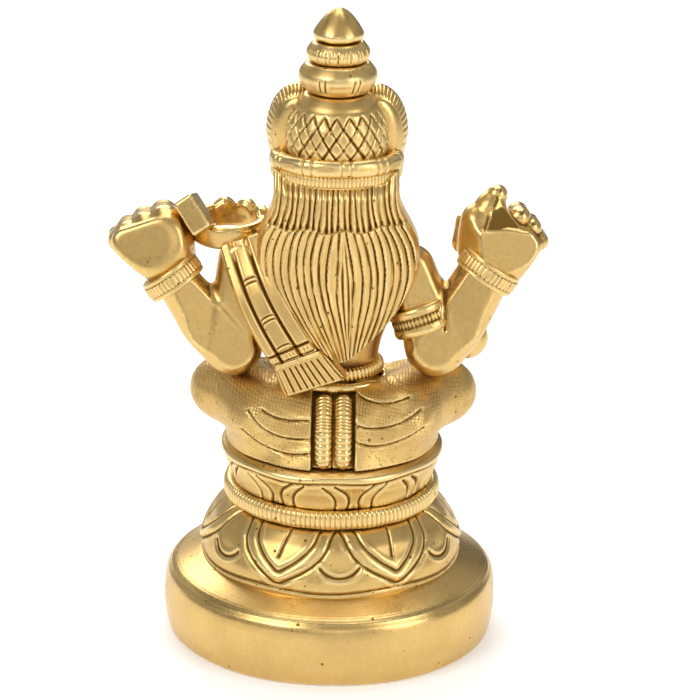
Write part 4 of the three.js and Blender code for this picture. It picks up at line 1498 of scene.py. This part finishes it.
def make_left_front_hand():
    node = "left_front_hand"
    mark = marker(node)

    def open_palm(p):
        d = ball(p, mark(0.5, 0.60, 0.42), (3.6, 4.2, 1.6))
        for k in range(4):
            fx = 0.14 + 0.24 * k
            d = smooth_min(d, finger(p, mark(fx, 0.42, 0.40), mark(fx * 0.9 + 0.05, 0.20, 0.42),
                                     mark(fx * 0.8 + 0.1, 0.10, 0.66), 0.85), 0.35)
        thumb = finger(p, mark(0.12, 0.70, 0.5), mark(0.0, 0.55, 0.62), mark(0.0, 0.42, 0.75), 0.85)
        return smooth_min(d, thumb, 0.4)

    carve("left_front_palm", node, open_palm, step=0.2, grow=0.6)


def make_right_front_hand():
    node = "right_front_hand"
    mark = marker(node)

    def raised_palm(p):
        d = ball(p, mark(0.42, 0.5, 0.34), (3.5, 1.7, 3.7))
        d = smooth_min(d, bone(p, mark(0.34, 0.6, 0.1), mark(0.42, 0.5, 0.34), 1.8, 1.9), 0.8)
        for k in range(4):
            fx = 0.12 + 0.22 * k
            reach = (0.86, 0.96, 0.94, 0.86)[k] - 0.08
            d = smooth_min(d, finger(p, mark(fx, 0.5, 0.52), mark(fx, 0.46, 0.76), mark(fx, 0.5, reach), 0.88), 0.3)
        thumb = finger(p, mark(0.72, 0.45, 0.30), mark(0.92, 0.42, 0.48), mark(0.93, 0.40, 0.58), 0.85)
        d = smooth_min(d, thumb, 0.4)
        # A small flower is cut in the palm.
        flower = mark(0.42, 0.02, 0.34).astype(np.float32)
        q = p - flower
        ring_distance = np.sqrt(q[..., 0] ** 2 + q[..., 2] ** 2)
        turn = np.arctan2(q[..., 2], q[..., 0])
        return d - 0.3 * hump(ring_distance - 1.2 - 0.25 * np.cos(6 * turn), 0.22) * (q[..., 1] < 1.5)

    carve("right_front_palm", node, raised_palm, step=0.2, grow=0.6)


def make_handle():
    node = "emblem_handle"
    low, high = box(node)
    centre = (low + high) / 2 + np.array([-1.3, 0.6, 0.9])
    long_way, short_way = unit((-0.55, 0.30, -0.78)), np.array([-0.75, 0.0, 0.66])
    short_way = square_off(long_way, short_way)
    axes = [long_way, short_way, np.cross(long_way, short_way)]

    def field(p):
        return brick(p, centre, axes, (3.7, 2.1, 2.9), 0.6)

    carve("emblem_handle_block", node, field, step=0.26, grow=0.6)


# The folds of the cloth on each thigh, as (x, z) points in mm on the figure's back.
LEG_FOLDS = {
    "right_leg": ([(-4.0, 53.6), (-6.4, 52.5), (-10, 52.2), (-14.6, 53.2)],
                  [(-4.4, 48.8), (-7.5, 47.8), (-12, 48.4), (-17.0, 51.0)],
                  [(-4.8, 45.4), (-7.8, 44.4), (-12.4, 44.9), (-17.6, 47.6)]),
    "left_leg": ([(13.5, 51.0), (10.9, 49.6), (8, 49.2), (4.6, 49.5)],
                 [(16.2, 50.6), (13.5, 47.4), (9.5, 45.7), (4.4, 45.9)],
                 [(17.4, 46.6), (13.6, 43.8), (9, 42.5), (4.0, 43.4)]),
}
APRON_EDGE = 20.9  # how far out the hem of the cloth reaches at the back, in mm
APRON_SLOPE = 0.42  # how much it draws in with each mm of height
CHANNEL_HALF = 4.3  # half the width of the channel that the cords hang in
CHANNEL_DEEP = 1.5
THIGH_SQUASH, THIGH_LEVEL = 0.86, 46.0  # the thighs are this much flatter than round, about this height in mm


def make_legs():
    marks = {
        "left_leg": ([(0.18, 0.78, 0.43), (0.53, 0.75, 0.50), (0.78, 0.48, 0.59), (0.62, 0.25, 0.41)],
                     [(0.65, 0.26, 0.38), (0.42, 0.13, 0.30), (0.09, 0.09, 0.31)], 1),
        "right_leg": ([(0.88, 0.78, 0.43), (0.50, 0.75, 0.50), (0.23, 0.48, 0.59), (0.40, 0.25, 0.41)],
                      [(0.37, 0.26, 0.38), (0.63, 0.13, 0.30), (0.97, 0.09, 0.26)], -1),
    }
    for node, (thigh_marks, shin_marks, side) in marks.items():
        low, high = box(node)
        thigh = [at(node, *m) for m in thigh_marks]
        shin = [at(node, *m) for m in shin_marks]
        folds = [rounded(fold) for fold in LEG_FOLDS[node]]

        def field(p):
            def lift(z):
                return (z - THIGH_LEVEL) / THIGH_SQUASH + THIGH_LEVEL

            x, y, z = p[..., 0], p[..., 1], p[..., 2]
            flat = np.stack([x, y, lift(z)], -1)
            keys = [np.array([q[0], q[1], lift(q[2])]) for q in thigh]
            d = chain(flat, keys, (8.0, 8.3, 7.4, 6.0), 2.0) * 0.93
            d = smooth_min(d, chain(p, shin, (5.8, 4.6, 3.4), 2.0), 1.6)
            # The cloth hangs from the thighs to the rim of the seat.
            cone = (np.sqrt(x * x + y * y) - (APRON_EDGE - (z - low[2]) * APRON_SLOPE)) * 0.92
            apron = np.maximum(np.maximum(cone, z - (low[2] + 9)), 1.0 - y)
            d = smooth_min(d, apron, 3.0)
            channel = clamp((CHANNEL_HALF - np.abs(x + 0.2)) / 0.3) * (y > 5)
            d = d + CHANNEL_DEEP * channel
            back = clamp((y - 4) / 3)
            xz = p[..., [0, 2]]
            for path in folds:
                dist = path_distance(xz, path)
                line = np.array(path)
                order = np.argsort(line[:, 0])
                above = z - np.interp(x, line[order, 0], line[order, 1])
                ledge = clamp(above / 0.5) * clamp(1 - above / 2.8) * clamp(1 - dist / 2.8)
                d = d + (groove(dist, 0.24, 0.40) - 0.42 * ledge) * back
            d = d + 0.10 * np.sin(x * 0.55 + z * 0.8) * back
            front = clamp((-2 - y) / 3)
            d = d + groove(np.abs((x * side * 0.5 - y * 0.35 + 2.0) % 3.6 - 1.8), 0.4, 0.28) * front
            d = np.maximum(d, low[2] - z)
            # Each leg keeps to its own side at the back; its foot end crosses in front.
            return np.maximum(d, np.where(y > 2, 0.05 - side * x, np.where(y > -6, -0.5 - side * x, -9)))

        shape = sculpt(field, low - 0.4, high + np.array([0.4, 4.0, 0.6]), 0.34)
        x, y = shape[0][:, 0], shape[0][:, 1]
        inside = smoothstep(CHANNEL_HALF - np.abs(x + 0.2), 0.0, 0.4) * (y > 5)
        add_piece(node + "_cloth", shape, "textured_brass", [node], 0.10 * inside)


def make_feet():
    for node, side in (("left_foot", -1), ("right_foot", 1)):

        def field(p):
            d = ball(p, at(node, 0.5, 0.55, 0.52), (5.5, 2.6, 2.4))
            for k in range(5):
                fz = 0.84 - 0.155 * k
                fx = (0.90 if side > 0 else 0.10) - side * 0.02 * k
                toe = at(node, fx, 0.62 - 0.10 * k, fz)
                d = smooth_min(d, bone(p, toe - np.array([side * 1.6, 0, 0]), toe, 0.62, 0.72), 0.25)
            return d

        carve(node + "_toes", node, field, step=0.2, grow=0.3)


def make_head():
    mark = marker("head")

    def field(p):
        y = p[..., 1]
        d = ball(p, mark(0.5, 0.55, 0.56), (9.7, 9.5, 8.9))
        for side in (-1, 1):
            d = smooth_min(d, ball(p, mark(0.5 + side * 0.18, 0.28, 0.66), (4.2, 4.0, 4.2)), 1.6)
            cheek = mark(0.5 + side * 0.26, 0.25, 0.34)
            d = smooth_min(d, ball(p, cheek, (3.4, 3.2, 4.2)), 2.0)
        d = smooth_min(d, ball(p, mark(0.5, 0.22, 0.44), (6.0, 4.6, 6.0)), 2.0)
        d = smooth_min(d, ball(p, mark(0.5, 0.26, 0.14), (3.6, 3.8, 2.4)), 1.4)
        for side in (-1, 1):
            eye = mark(0.5 + side * 0.265, 0.075, 0.52).astype(np.float32)
            q = p - eye
            lens = np.sqrt((q[..., 0] / 1.7) ** 2 + (q[..., 2] / 0.85) ** 2)
            near = (y < -4) & (np.abs(q[..., 0]) < 4) & (np.abs(q[..., 2]) < 3)
            d = d + (0.40 * hump(lens - 1.15, 0.20) - 0.30 * hump(lens, 0.65)) * near
            brow = [mark(0.5 + side * 0.12, 0.1, 0.60), mark(0.5 + side * 0.28, 0.1, 0.67),
                    mark(0.5 + side * 0.42, 0.2, 0.60)]
            brow_line = path_distance(p[..., [0, 2]], [q[[0, 2]] for q in brow])
            d = d - 0.28 * hump(brow_line, 0.4) * (y < -3)
        mouth = path_distance(p[..., [0, 2]], [mark(0.30, 0, 0.18)[[0, 2]], mark(0.5, 0, 0.10)[[0, 2]],
                                               mark(0.70, 0, 0.18)[[0, 2]]])
        return d + groove(mouth, 0.4, 0.6) * (y < -6)

    carve("head_form", "head", field, step=0.28, grow=0.3)


def make_trunk_and_tusks():
    node = "trunk"
    keys = [at(node, *f) for f in ((0.24, 0.94, 0.85), (0.24, 0.59, 0.66), (0.26, 0.43, 0.42), (0.41, 0.31, 0.20),
                                   (0.70, 0.22, 0.08), (0.91, 0.23, 0.16))]
    radii = (4.4, 4.0, 3.5, 3.0, 2.4, 1.7)
    lengths = np.concatenate([[0], np.cumsum([np.linalg.norm(b - a) for a, b in zip(keys[:-1], keys[1:])])])

    def field(p):
        d = chain(p, keys, radii, 2.5)
        best = np.full(p.shape[:-1], 1e9, np.float32)
        along = np.zeros(p.shape[:-1], np.float32)
        for k, (a, b) in enumerate(zip(keys[:-1], keys[1:])):
            ab = (b - a).astype(np.float32)
            h = clamp(((p - a.astype(np.float32)) @ ab) / (ab @ ab))
            dist = np.sqrt(((p - a.astype(np.float32) - h[..., None] * ab) ** 2).sum(-1))
            closer = dist < best
            best = np.where(closer, dist, best)
            along = np.where(closer, lengths[k] + h * (lengths[k + 1] - lengths[k]), along)
        wrinkle = off_whole(along / 1.7) * 1.7
        d = d + groove(wrinkle, 0.28, 0.30)
        tip = (keys[-1] + unit(keys[-1] - keys[-2]) * radii[-1]).astype(np.float32)
        return d + groove(np.sqrt(((p - tip) ** 2).sum(-1)), 0.9, 0.9)

    carve("trunk_wrinkles", node, field, step=0.27, grow=0.3)

    for node, marks in (("left_tusk", ((0.32, 0.85, 0.70), (0.65, 0.43, 0.25), (0.84, 0.09, 0.30))),
                        ("right_tusk", ((0.69, 0.86, 0.71), (0.42, 0.46, 0.27), (0.25, 0.11, 0.32)))):
        line = [at(node, *m) for m in marks]

        def tusk(p):
            d = chain(p, line, (1.25, 1.0, 0.55), 0.8)
            band = np.abs((p - line[1].astype(np.float32)) @ unit(line[1] - line[0]).astype(np.float32))
            return d - 0.22 * hump(band, 0.45)

        carve(node + "_ivory", node, tusk, step=0.2, grow=0.4)


# ---------------------------------------------------------------- the scene

make_camera()
make_studio()
make_floor()
make_plinth()
make_lower_lotus()
make_rope_ring()
make_upper_lotus()
make_legs()
make_feet()
make_torso()
make_girdle()
make_cords()
make_rear_arms()
make_front_arms()
make_bracelets()
make_left_rear_hand()
make_right_rear_hand()
make_left_front_hand()
make_right_front_hand()
make_handle()
make_noose()
make_bowl_and_sweets()
make_head()
make_trunk_and_tusks()
make_ears()
make_crown_dome()
make_crown_rings()
make_crown_bands()
make_hair()
make_sash()
